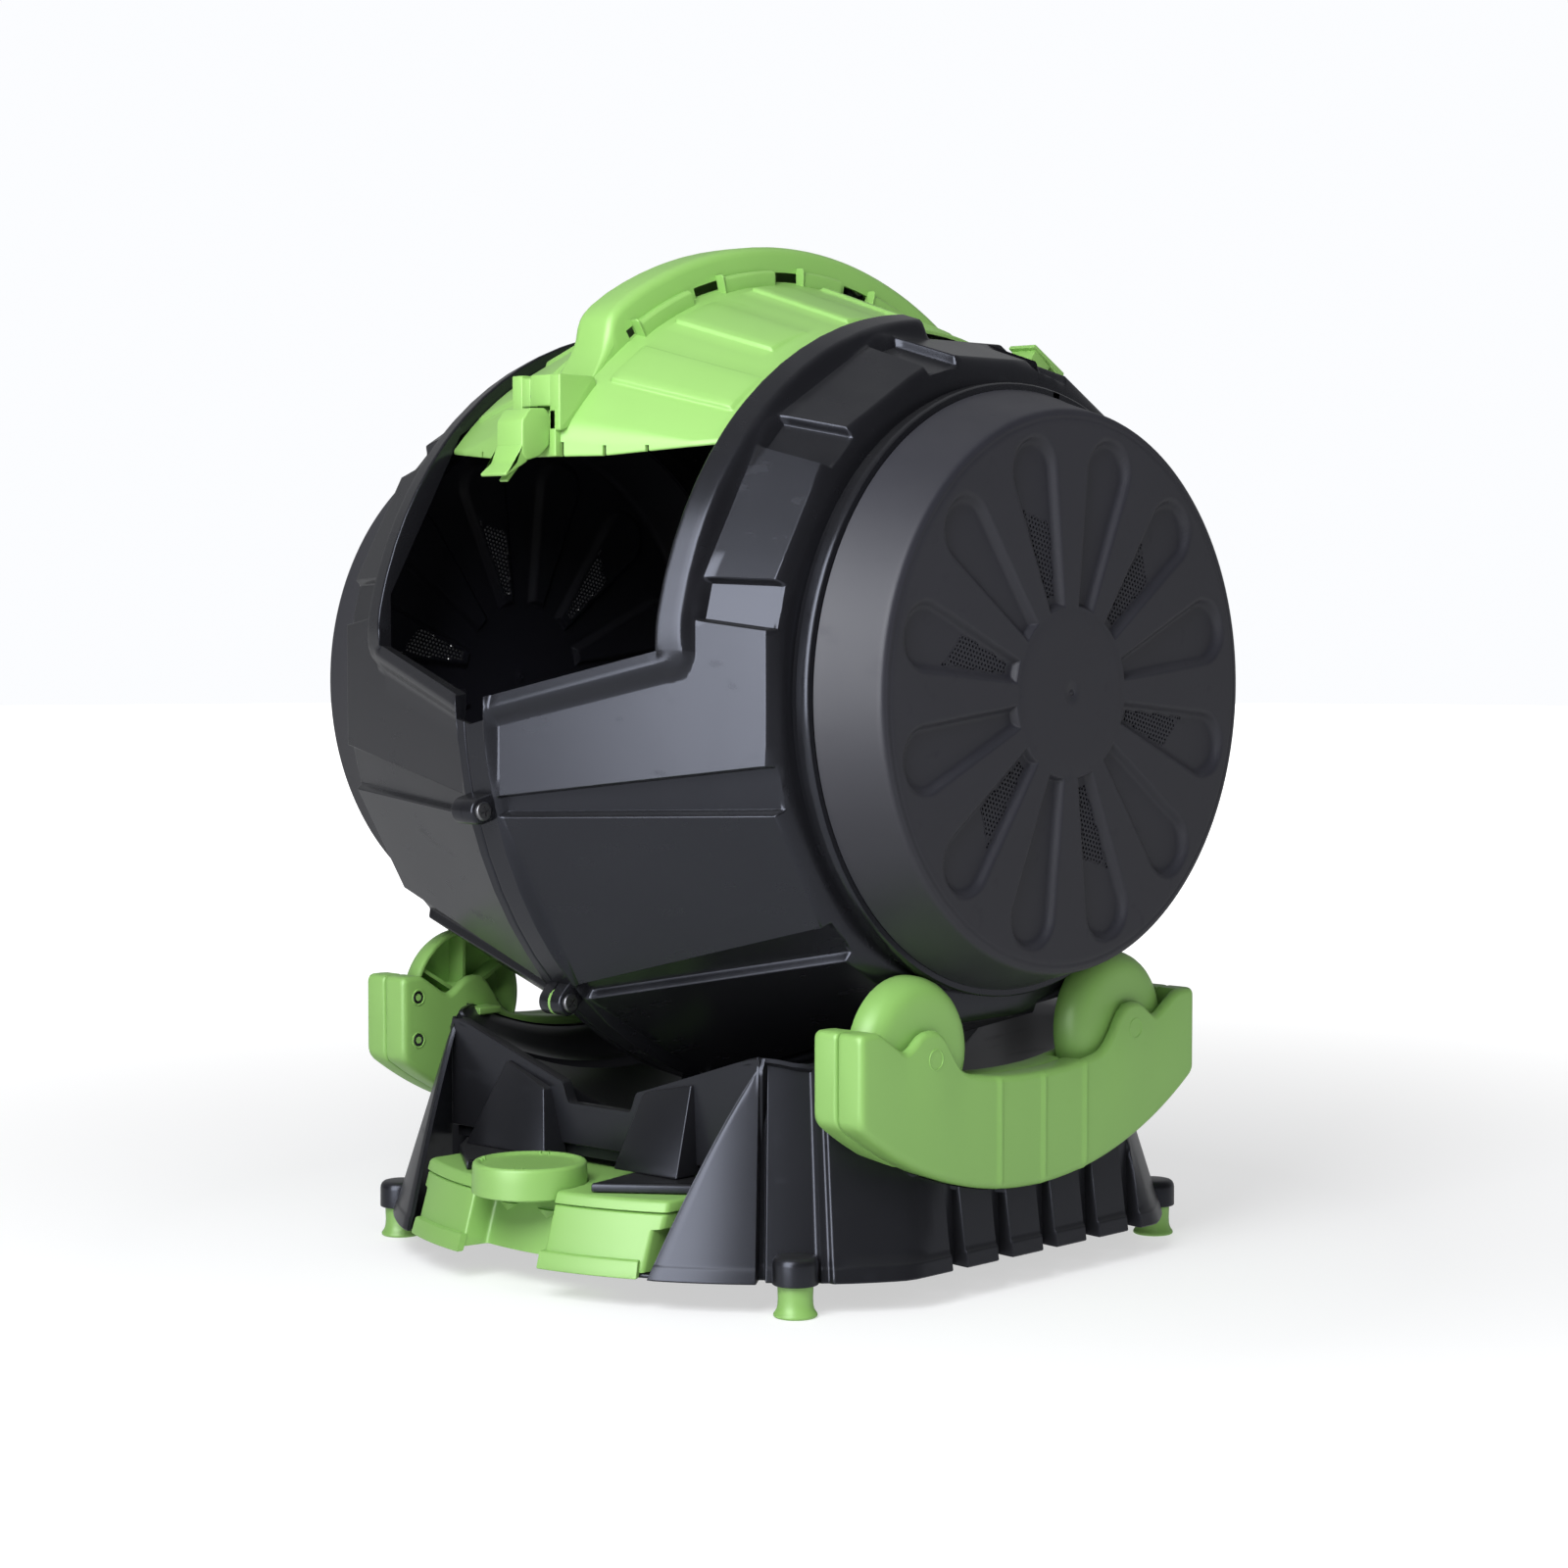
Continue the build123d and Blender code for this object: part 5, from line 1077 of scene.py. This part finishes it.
def tank_body(made):
    """Body rings from the shelf up: straight lower part, wider shoulder under the lid,
    a groove at the parting line."""
    levels = [(30.8, 143.0, 9.0), (31.4, 144.2, 7.4), (40.0, 144.5, 7.0), (64.6, 144.5, 7.0),
              (65.6, 145.2, 7.0), (66.4, 151.0, 7.0), (67.2, 152.0, 7.0), (77.6, 152.0, 7.0),
              (78.4, 151.2, 7.9), (79.0, 150.6, 8.6)]
    loft(made, [tank_ring(z, half, inset, GRIP_DEPTH) for z, half, inset in levels])
    for side in (-1, 1):
        run = np.linspace(math.asin(51.0 / 353.0), math.asin(144.0 / 353.0), 11)
        rings = []
        for z, out, back, trim in ((26.8, 3.2, 7.6, 0.9), (27.4, 2.3, 8.4, 0.2), (28.4, 2.0, 8.6, 0.0),
                                   (40.4, 2.0, 8.6, 0.0), (41.2, 2.4, 8.6, 0.2), (41.7, 3.4, 8.6, 0.8)):
            a = run[0] + (run - run[0]) + np.linspace(trim, -trim, len(run)) / 350.0
            outer = np.stack([side * cone_r(z, out) * np.sin(a), BASE_Y - cone_r(z, out) * np.cos(a)], -1)
            inner = np.stack([side * cone_r(z, back) * np.sin(a), BASE_Y - cone_r(z, back) * np.cos(a)], -1)
            line = np.vstack([outer, inner[::-1]])
            rings.append(np.stack([line[:, 0], line[:, 1], np.full(len(line), z)], -1))
        loft(made, rings)
    for middle in (-27.0, 24.0):
        across = np.linspace(-1.0, 1.0, 13)[:, None]
        drop = np.linspace(0.0, 1.0, 6)[None, :]
        bulge = np.sqrt(np.clip(1.0 - across ** 2, 0.0, 1.0)) * (1.0 - drop)
        x = middle + 13.0 * across * (1.0 - drop)
        z = 68.5 - 7.5 * drop + 0.0 * across
        y = BASE_Y - np.sqrt((cone_r(z, 31.2)) ** 2 - x ** 2) - 5.0 * bulge
        grid = np.stack([x, y, z], -1)
        made.lay(grid)
        back = grid.copy()
        back[..., 1] = back[..., 1] + 5.0 * bulge + 1.5
        made.lay(back)
        made.join(grid[:, 0], back[:, 0])
        made.join(grid[0], back[0])
        made.join(grid[-1], back[-1])


def tank_lid(made):
    """Lid rings: a shadow gap over the body, an upright rim and a rounded upper edge."""
    levels = [(79.4, 151.0, 8.4), (80.0, 152.6, 6.4), (80.6, 153.4, 5.6), (87.0, 153.2, 5.6),
              (88.4, 152.6, 6.2), (89.4, 151.4, 7.4), (89.9, 150.0, 8.8), (90.0, 148.4, 10.4)]
    loft(made, [tank_ring(z, half, inset, GRIP_DEPTH, CAP_BAY_R) for z, half, inset in levels])
    neck = np.array([(0.01, 79.2), (41.2, 79.2), (41.8, 79.8), (41.8, 99.4), (41.2, 100.0), (39.2, 100.0),
                     (38.6, 99.4), (38.6, 81.2), (0.01, 81.0)])
    turned_up(made, neck, 0.0, CAP_Y, 64)


def tank_cap(made):
    """Screw cap turned about an upright axis: slightly drafted skirt, rounded rim and a shallow dish."""
    profile = np.array([(42.6, 112.4), (42.6, 89.4), (43.6, 88.9), (49.2, 88.9), (50.0, 89.6),
                        (49.7, 103.0), (49.4, 112.6), (48.9, 114.4), (47.8, 115.6), (46.4, 116.0),
                        (44.6, 116.0), (43.6, 115.6), (42.6, 114.6), (41.0, 113.7), (38.5, 113.4),
                        (20.0, 113.3), (0.01, 113.3)])
    under = np.array([(42.6, 112.4), (41.0, 111.4), (0.01, 111.2)])
    for line in (profile, under):
        turned_up(made, line - [0.0, CAP_DROP], 0.0, CAP_Y, 96)
    for tick in (115.0, 125.0, 205.0, 215.0, 300.0, 310.0):
        t = math.radians(tick)
        out, across = np.array([math.cos(t), math.sin(t), 0.0]), np.array([-math.sin(t), math.cos(t), 0.0])
        ridge = soften(np.array([(41.2, -0.7), (45.2, -0.7), (45.2, 0.7), (41.2, 0.7)]), 0.5, 2)
        rings = []
        for height, inset in ((113.0, 0.0), (116.3, 0.0), (116.6, 0.3)):
            line = shrink(ridge, inset)
            ring = line[:, :1] * out + line[:, 1:] * across + np.array([0.0, CAP_Y, height - CAP_DROP])
            rings.append(ring)
        loft(made, rings)


tank = Moulding()
tank_body(tank)
finish_piece("tank_bin", tank, "tank", LIME, ["tank_body"], crease=35.0)
lid = Moulding()
tank_lid(lid)
finish_piece("tank_cover", lid, "tank", LIME, ["tank_lid"], crease=35.0)
stopper = Moulding()
tank_cap(stopper)
finish_piece("tank_stopper", stopper, "tank_cap_body", LIME, ["tank_cap"], crease=35.0)


# Base: a round tapered tub with a saddle deck, a recess for the tank, fluted sides and bracket pockets
RECESS_BACK_Y = -222.0
RECESS_HALF = 196.0
RECESS_FRONT_HALF = 152.0
RECESS_DEPTH = 96.0
RIM_Z = 207.5
WALL = 3.6
PANEL_START = 40.2
SIDE_START = 52.2
SIDE_END = 127.8
POCKET_X = 258.5
LOW_Z = 27.0
FLUTES = 20.0 + 60.0 * np.arange(-2, 3)


def deck_z(x, y):
    """Height of the saddle: a bowl about the drum axis, deeper in a middle channel,
    rising towards the sides."""
    x = np.abs(x)
    r = 428.0 - 16.0 * ease((x - 38.0) / 11.0) - 0.262 * np.maximum(x - 50.0, 0.0)
    r = r - 20.0 * ease((x - 218.0) / 36.0)
    return np.minimum(RIM_Z, AXIS_Z - np.sqrt(np.maximum(r ** 2 - y ** 2, 1.0)))


def recess_edge(z):
    """Angle at which the slanting side of the recess meets the cone at height z."""
    r = cone_r(z, 0.0)
    lean = (RECESS_HALF - RECESS_FRONT_HALF) / RECESS_DEPTH
    start = RECESS_HALF + lean * (BASE_Y - RECESS_BACK_Y)
    b = start * lean
    slant = 1 + lean * lean
    under = np.maximum(b * b - slant * (start * start - r * r), 0.0)
    back = np.maximum((b + np.sqrt(under)) / slant, BASE_Y - RECESS_BACK_Y)
    return np.degrees(np.arctan2(start - lean * back, back))


def wall_r(angle, z):
    """Cone with a sunk panel behind each foot:
    a dark groove on its front side, two steps on its rear side."""
    r = cone_r(z, 0.0)
    for middle, way in ((FOOT_ANGLES[0], 1.0), (FOOT_ANGLES[2], -1.0)):
        off = way * (angle - middle)
        rear_steps = 1.0 - 0.5 * ease((off - 2.9) / 0.7) - 0.5 * ease((off - 4.5) / 0.7)
        r = r - 8.0 * ease((off + 5.4) / 0.3) * rear_steps
        r = r - 11.0 * ease((off + 5.3) / 0.25) * (1.0 - ease((off + 4.25) / 0.25))
    edge = np.radians(angle - recess_edge(z)) * r
    r = r - 1.6 * np.clip(1.0 - np.maximum(edge, 0.0) / 3.5, 0.0, 1.0) ** 2
    return r + 0.9 * (1.0 - ease((z - LOW_Z - 11.0) / 2.0)) - 1.0 * np.clip(1.0 - (z - LOW_Z) / 1.2, 0.0, 1.0)


def wall_x(y, z):
    """Side wall: the cone cut by a leaning flat,
    with upright flutes that get deeper downwards and a plinth band."""
    cone = np.sqrt(np.maximum(cone_r(z, 0.0) ** 2 - (y - BASE_Y) ** 2, 1.0))
    flat = 313.0 - 0.14 * (z - LOW_Z)
    band = 1.5 * (1.0 - ease((z - LOW_Z - 13.0) / 1.6)) - 1.2 * np.clip(1.0 - (z - LOW_Z) / 1.2, 0.0, 1.0)
    gap = cone - flat
    x = flat + np.minimum(gap, 0.0) - 1.2 * np.exp(-np.abs(gap) / 2.5) + band
    floor = np.minimum(cone, 299.0 - 0.03 * (z - LOW_Z))
    for middle in FLUTES:
        inside = 1.0 - ease((np.abs(y - middle) - 8.2) / 1.6)
        x = x + np.minimum(floor - x, 0.0) * inside
    return x


def wall_top(x, y):
    """Upper limit of the outside wall: the deck, or the bracket seat beyond the pocket."""
    return np.where(np.abs(x) > POCKET_X, np.minimum(pocket_z(y) - 1.0, RIM_Z), deck_z(x, y))


def outer_wall(made):
    """Outside wall from one side of the recess round the back to the other, with a wall thickness."""
    front_a = np.linspace(0.0, 1.0, 14)
    panel = steps([PANEL_START, 40.5, 41.05, 41.7, 42.1, 48.6, 49.8, 50.4, 51.4, SIDE_START],
                  [1, 9, 2, 7, 4, 5, 2, 5, 2])
    side_y = np.sort(np.concatenate([
        np.linspace(-205.0, 215.0, 43),
        np.concatenate([m + np.array([-10, -9.4, -8.8, -8.2, 8.2, 8.8, 9.4, 10]) for m in FLUTES])]))
    rear = steps([SIDE_END, 128.6, 129.6, 130.2, 131.4, 137.9, 138.3, 138.95, 139.5, 139.8, 180.0],
                 [2, 5, 2, 5, 4, 7, 2, 9, 1, 14])

    def points(z, thin):
        """All rows at heights z [row, column]; thin moves the wall in."""
        n1, n2 = len(front_a) - 1 + len(panel), len(side_y)
        z1, z2, z3 = z[:n1], z[n1:n1 + n2], z[n1 + n2:]
        start = recess_edge(z1)
        a1 = np.vstack([start[i:i + 1] + (PANEL_START - start[i:i + 1]) * front_a[i]
                        for i in range(len(front_a) - 1)]
                       + [np.full((1, z.shape[1]), p) for p in panel])
        r1 = wall_r(a1, z1) - thin
        t1 = np.radians(a1)
        p1 = np.stack([r1 * np.sin(t1), BASE_Y - r1 * np.cos(t1), z1], -1)
        low = BASE_Y - cone_r(z2, 0.0) * math.cos(math.radians(SIDE_START))
        high = BASE_Y - cone_r(z2, 0.0) * math.cos(math.radians(SIDE_END))
        y2 = np.clip(side_y[:, None], low + 0.01, high - 0.01)
        p2 = np.stack([wall_x(y2, z2) - thin, y2, z2], -1)
        a3 = np.broadcast_to(rear[:, None], z3.shape)
        r3 = wall_r(a3, z3) - thin
        t3 = np.radians(a3)
        p3 = np.stack([r3 * np.sin(t3), BASE_Y - r3 * np.cos(t3), z3], -1)
        return np.concatenate([p1, p2, p3])

    rows = len(front_a) - 1 + len(panel) + len(side_y) + len(rear)
    top = np.full((rows, 1), RIM_Z)
    for _ in range(14):
        tip = points(top, 0.0)[:, 0]
        top = 0.4 * top + 0.6 * wall_top(tip[:, 0], tip[:, 1])[:, None]
    tip = points(top, 0.0)[:, 0]
    foot = LOW_Z + 2.6 * np.max(np.exp(-((tip[:, 1:2] - FLUTES[None, :]) / 8.6) ** 8), 1, keepdims=True) * (
        np.abs(tip[:, :1]) > 250.0)
    share = np.concatenate([np.linspace(0.0, 1.0, 17)[1:-1], [0.985, 1.0]])[None, :]
    stand = np.array([0.0, 0.6, 1.2, 6.0, 10.5, 11.5, 12.5, 13.5, 15.0])[None, :]
    z = np.concatenate([foot + stand * (foot * 0 + 1), foot + 15.0 + (top - foot - 15.0) * share], 1)
    outside, inside = points(z, 0.0), points(z, WALL)
    mirror = np.array([-1.0, 1.0, 1.0])
    outside = np.concatenate([outside, outside[-2::-1] * mirror])
    inside = np.concatenate([inside, inside[-2::-1] * mirror])
    thick(made, outside, inside)


def deck(made):
    """Saddle deck between the pockets, with two long curved drain slots and a short one in the middle
    channel."""
    half = np.array([0, 20, 34, 38, 39.5, 41, 42.5, 44, 45.5, 47, 49, 52, 57, 60, 75, 95, 120, 145, 170,
                     190, 195.9, 196.1, 206, 216, 224, 232, 240, 248, 258.5])
    x = np.concatenate([-half[:0:-1], half])
    reach = np.abs(x)
    front = np.full_like(x, RECESS_BACK_Y)
    back = np.full_like(x, 290.0)
    for _ in range(20):
        out_f, out_b = (np.sqrt(np.maximum(cone_r(deck_z(x, line), 0.5) ** 2 - x ** 2, 1.0))
                        for line in (front, back))
        front_cut = 0.5 * front + 0.5 * np.maximum(BASE_Y - out_f, RECESS_BACK_Y)
        front = np.where(reach < RECESS_HALF, RECESS_BACK_Y, front_cut)
        back = 0.5 * back + 0.5 * (BASE_Y + out_b)
    level = np.ones_like(x)
    knots = [front, np.maximum(front + 2.0, -160.3 * level), np.maximum(front + 3.0, -138.0 * level),
             np.minimum(back - 3.0, 138.0 * level), back]
    counts = [8, 3, 26, 12]
    y = spread(knots, counts)
    across = np.broadcast_to(x, y.shape)
    z = deck_z(across, y)
    near = np.abs(y - front[None, :])
    z = z - np.where(reach < RECESS_HALF, 1.8 * np.clip(1.0 - near / 4.0, 0.0, 1.0) ** 2, 0.0)
    grid = np.stack([across, y, z], -1)
    under = grid - np.array([0.0, 0.0, WALL])
    open_cells = np.zeros((y.shape[0] - 1, y.shape[1] - 1), bool)
    middle_x = 0.5 * (x[1:] + x[:-1])
    first, last = sum(counts[:2]), sum(counts[:3])
    slots = (np.abs(middle_x) > 196.1) & (np.abs(middle_x) < 216.0)
    open_cells[first:last, slots] = True
    open_cells[counts[0]:first, np.abs(middle_x) < 40.0] = True
    thick(made, grid, under, open_cells)
    line_holes(made, grid, under, open_cells)


def raised_panel(made, side):
    """Wedge on the back wall beside the middle:
    a four-sided outline whose face stands out further downwards."""
    outer, inner_top, outer_top = (149.0, 156.0, 175.0) if side < 0 else (122.0, 165.0, 177.0)
    line = soften(np.array([(44.0, 98.6), (outer, 98.6), (118.0, outer_top), (62.5, inner_top)]), 2.4)
    rings = []
    for inset, sink in ((0.0, 30.0), (0.0, 1.0), (0.35, 0.3), (1.0, 0.0)):
        x, z = shrink(line, inset).T
        front = RECESS_BACK_Y - 2.5 - 22.5 * (177.0 - z) / 78.4
        rings.append(np.stack([side * x, np.minimum(front + sink, RECESS_BACK_Y + 2.0), z], -1))
    loft(made, rings)


def tank_shelf(made, side):
    """Ledge over the tank's lid: a plate from the back wall out to a slanting front edge beside the cap."""
    plan = np.array([(79.0, -307.0), (150.0, -254.0), (178.0, -221.0), (62.0, -221.0)])
    block(made, soften(plan * [side, 1.0], 3.0), along_z, 91.2, 98.4, (0.4, 2.6))


def front_panel(made):
    """Back wall of the recess: a bevelled rim along the saddle edge and a stepped-back lower strip."""
    half = np.concatenate([np.linspace(0.0, 36.0, 7)[:-1], np.linspace(36.0, 50.0, 13)[:-1],
                           np.linspace(50.0, RECESS_HALF, 25)])
    x = np.concatenate([-half[:0:-1], half])
    top = deck_z(x, RECESS_BACK_Y) - 1.6
    rise = np.array([97.2, 98.2, 106.0, 107.2, 107.8, 108.4, 110.0])
    share = np.concatenate([np.linspace(0.0, 0.9, 7)[1:], np.linspace(0.9, 1.0, 12)[1:]])[None, :]
    z = np.concatenate([np.broadcast_to(rise, (len(x), len(rise))),
                        110.0 + (top[:, None] - 110.0) * share], 1)
    across = np.broadcast_to(x[:, None], z.shape)
    strip = 7.0 * (1.0 - ease((z - 106.6) / 1.6))
    rim = 2.6 * np.clip(1.0 - (top[:, None] - z) / 3.6, 0.0, 1.0) ** 2
    grid = np.stack([across, RECESS_BACK_Y + strip + rim, z], -1)
    back = grid.copy()
    back[..., 1] = RECESS_BACK_Y + 11.0
    thick(made, grid, back)


def recess_side(made, side):
    """Slanting side of the recess: straight lines at each height from the back wall to the edge on the
    cone."""
    z = np.linspace(LOW_Z, 207.0, 40)
    edge = np.radians(recess_edge(z))
    r = cone_r(z, 1.4)
    tip = np.stack([r * np.sin(edge), BASE_Y - r * np.cos(edge), z], -1)
    root = np.stack([np.full_like(z, RECESS_HALF), np.full_like(z, RECESS_BACK_Y - 0.5), z], -1)
    root[:, 1] = np.maximum(root[:, 1], tip[:, 1])
    t = np.linspace(0.0, 1.0, 12)[None, :, None]
    grid = root[:, None] * (1 - t) + tip[:, None] * t
    back = grid + np.array([3.2, 1.0, 0.0]) * (1.0 - 0.7 * t)
    flip = np.array([side, 1.0, 1.0])
    thick(made, grid * flip, back * flip)


def pocket_wall(made, side):
    """Upright wall behind a bracket, from its seat up to the deck."""
    y = np.linspace(-150.0, 160.0, 40)
    low, high = pocket_z(y) - 3.0, deck_z(np.full_like(y, POCKET_X), y)
    t = np.linspace(0.0, 1.0, 6)[None, :]
    z = low[:, None] * (1 - t) + high[:, None] * t
    grid = np.stack([np.full_like(z, side * POCKET_X), np.broadcast_to(y[:, None], z.shape), z], -1)
    thick(made, grid, grid - np.array([3.5 * side, 0.0, 0.0]))


def pocket_seat(made, side):
    """Curved seat under a bracket, from the pocket's wall out to the side wall."""
    y = np.linspace(-165.0, 180.0, 60)
    z = pocket_z(y) - 1.0
    out = wall_x(y, z) - 0.4
    t = np.linspace(0.0, 1.0, 6)[None, :]
    x = side * ((POCKET_X - 3.0) * (1 - t) + np.maximum(out, POCKET_X)[:, None] * t)
    grid = np.stack([x, np.broadcast_to(y[:, None], x.shape), np.broadcast_to(z[:, None], x.shape)], -1)
    thick(made, grid, grid - np.array([0.0, 0.0, 3.2]))


def foot_cup(made, x, y):
    """Cup over a foot: a short cylinder with a rounded top, turned about an upright axis."""
    profile = np.array([(15.4, 27.0), (18.8, 27.0), (19.5, 27.6), (19.4, 44.0), (19.0, 46.6), (17.8, 48.9),
                        (15.9, 50.3), (13.0, 51.0), (0.01, 51.2)])
    under = np.array([(15.4, 27.0), (15.3, 46.0), (0.01, 46.2)])
    for line in (profile, under):
        turned_up(made, line, x, y, 56)


tub = Moulding()
outer_wall(tub)
deck(tub)
front_panel(tub)
for side in (-1, 1):
    recess_side(tub, side)
    raised_panel(tub, side)
    tank_shelf(tub, side)
    pocket_wall(tub, side)
    pocket_seat(tub, side)
for foot_x, foot_y in FEET:
    foot_cup(tub, foot_x, foot_y)
shelf_x = np.concatenate([-steps([78.0, 86.0, 158.0], [8, 12])[::-1], steps([78.0, 86.0, 158.0], [8, 12])])
shelf_r = 345.5 - 45.0 * (1.0 - ease((np.abs(shelf_x) - 78.0) / 8.0))
shelf_plan = np.vstack([np.stack([shelf_x, BASE_Y - np.sqrt(shelf_r ** 2 - shelf_x ** 2)], -1),
                        [(208.0, -262.0), (208.0, -95.0), (-208.0, -95.0), (-208.0, -262.0)]])
block(tub, shelf_plan, along_z, 27.0, 30.0, (0.5, 0.5), 2)
finish_piece("base_tub", tub, "base", BASE_BLACK, ["base_shell"], crease=40.0)


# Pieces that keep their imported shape
def dress(names, finish):
    """Give every slot of the named nodes one finish."""
    for name in names:
        for index in range(len(nodes[name].material_slots)):
            nodes[name].material_slots[index].material = finish


KEPT_BASE = [name for name in nodes if name.startswith("base_shell")]
KEPT_CAP = [name for name in nodes if name.startswith("end_cap")]
KEPT_GREEN = [name for name in nodes if name.startswith((
    "door_", "latch_frame", "latch_lever", "feet", "seam_spacers", "bracket_inner", "bracket_outer", "tank_",
    "roller_left", "roller_right"))]
KEPT_STEEL = [name for name in nodes if name.startswith(("seam_bolts", "seam_nuts", "bracket_screws",
                                                         "roller_axles", "latch_pin"))]
dress(KEPT_BASE, BASE_BLACK)
dress(KEPT_CAP, CAP_BLACK)
dress(KEPT_GREEN, LIME)
dress(KEPT_STEEL, ZINC)


# Floor, light and camera
def studio_floor():
    """A wide flat disc of rings, so the pale floor runs out of the picture."""
    ring = np.radians(np.arange(0.0, 360.0, 7.5))
    reach = np.array([0.0, 900.0, 2500.0, 6000.0, 14000.0])
    grid = np.stack([
        reach[None, :] * np.cos(ring)[:, None],
        reach[None, :] * np.sin(ring)[:, None],
        np.full((len(ring), len(reach)), -0.4),
    ], -1)
    moulding = Moulding()
    moulding.lay(grid, around=True)
    mesh = bpy.data.meshes.new("studio_floor")
    mesh.from_pydata((np.concatenate(moulding.points) * MM).tolist(), [], moulding.faces)
    floor = bpy.data.objects.new("studio_floor", mesh)
    bpy.context.scene.collection.objects.link(floor)
    paper, tree, shader = node_material("pale_paper")
    place = add_node(tree, "ShaderNodeTexCoord").outputs["Object"]
    away = add_node(tree, "ShaderNodeVectorMath", {0: place}, operation="LENGTH")
    glow = add_node(tree, "ShaderNodeMapRange", {
        "Value": away.outputs["Value"], "From Min": 0.6, "From Max": 3.6, "To Min": 0.58, "To Max": 1.42})
    path = add_node(tree, "ShaderNodeLightPath")
    dim = add_node(tree, "ShaderNodeMapRange", {
        "Value": path.outputs["Is Glossy Ray"], "To Min": 1.0, "To Max": 0.3})
    both = add_node(tree, "ShaderNodeMath", {
        0: glow.outputs["Result"], 1: dim.outputs["Result"]}, operation="MULTIPLY")
    feed(tree, shader, {
        "Base Color": (0.42, 0.42, 0.42, 1), "Roughness": 0.9, "Specular IOR Level": 0.1,
        "Emission Color": (1.0, 1.0, 1.0, 1), "Emission Strength": both.outputs["Value"]})
    mesh.materials.append(paper)


def soft_light(name, towards, distance, width, height, power, mirrored):
    """A large soft lamp that stands off in one direction,
    either for reflections only or for plain light only."""
    lamp = bpy.data.lights.new(name, "AREA")
    lamp.shape = "RECTANGLE"
    lamp.size = width
    lamp.size_y = height
    lamp.energy = power
    lamp.color = (0.95, 0.97, 1.0)
    holder = bpy.data.objects.new(name, lamp)
    middle = Vector((0.0, 0.0, 0.5))
    holder.location = middle + Vector(towards).normalized() * distance
    holder.rotation_euler = (middle - holder.location).to_track_quat("-Z", "Y").to_euler()
    holder.visible_glossy = mirrored
    holder.visible_diffuse = not mirrored
    bpy.context.scene.collection.objects.link(holder)


def studio_world():
    """White to the lens; in reflections grey at the left and dark behind the lens."""
    world = bpy.data.worlds.new("studio")
    bpy.context.scene.world = world
    world.use_nodes = True
    tree = world.node_tree
    place = add_node(tree, "ShaderNodeTexCoord").outputs["Generated"]
    towards = add_node(tree, "ShaderNodeVectorMath", {
        0: place, 1: (0.70, -0.70, 0.0)}, operation="DOT_PRODUCT")
    fall = add_node(tree, "ShaderNodeMapRange", {
        "Value": towards.outputs["Value"], "From Min": -0.6, "From Max": 0.15,
        "To Min": 0.30, "To Max": 0.05}, interpolation_type="SMOOTHSTEP")
    path = add_node(tree, "ShaderNodeLightPath")
    pick = add_node(tree, "ShaderNodeMix", {
        "Factor": path.outputs["Is Camera Ray"], "A": fall.outputs["Result"], "B": 1.0}, data_type="FLOAT")
    feed(tree, tree.nodes["Background"], {
        "Strength": pick.outputs["Result"], "Color": (0.97, 0.98, 1.0, 1)})


def photo_camera():
    """The lens of the photograph: 75.9 mm on a 36 mm square frame, from the front right, a little above."""
    lens = bpy.data.cameras.new("photo_camera")
    lens.sensor_width = 36.0
    lens.lens = 75.93
    lens.clip_end = 100.0
    holder = bpy.data.objects.new("photo_camera", lens)
    holder.location = (2.104, -2.2034, 0.6034)
    target = Vector((0.0138, 0.0, 0.4203))
    holder.rotation_euler = (target - holder.location).to_track_quat("-Z", "Y").to_euler()
    bpy.context.scene.collection.objects.link(holder)
    bpy.context.scene.camera = holder


bpy.context.scene.view_settings.view_transform = "Standard"
studio_floor()
studio_world()
soft_light("front_softbox", (0.11, -1.0, 0.36), 3.2, 2.1, 3.3, 185.0, True)
soft_light("front_key", (0.42, -1.0, 0.62), 2.0, 1.0, 1.0, 47.0, False)
soft_light("overhead_fill", (-0.1, -0.1, 1.0), 2.8, 2.6, 2.6, 21.0, False)
soft_light("right_fill", (1.0, -0.35, 0.45), 3.4, 1.8, 1.8, 22.0, False)
photo_camera()
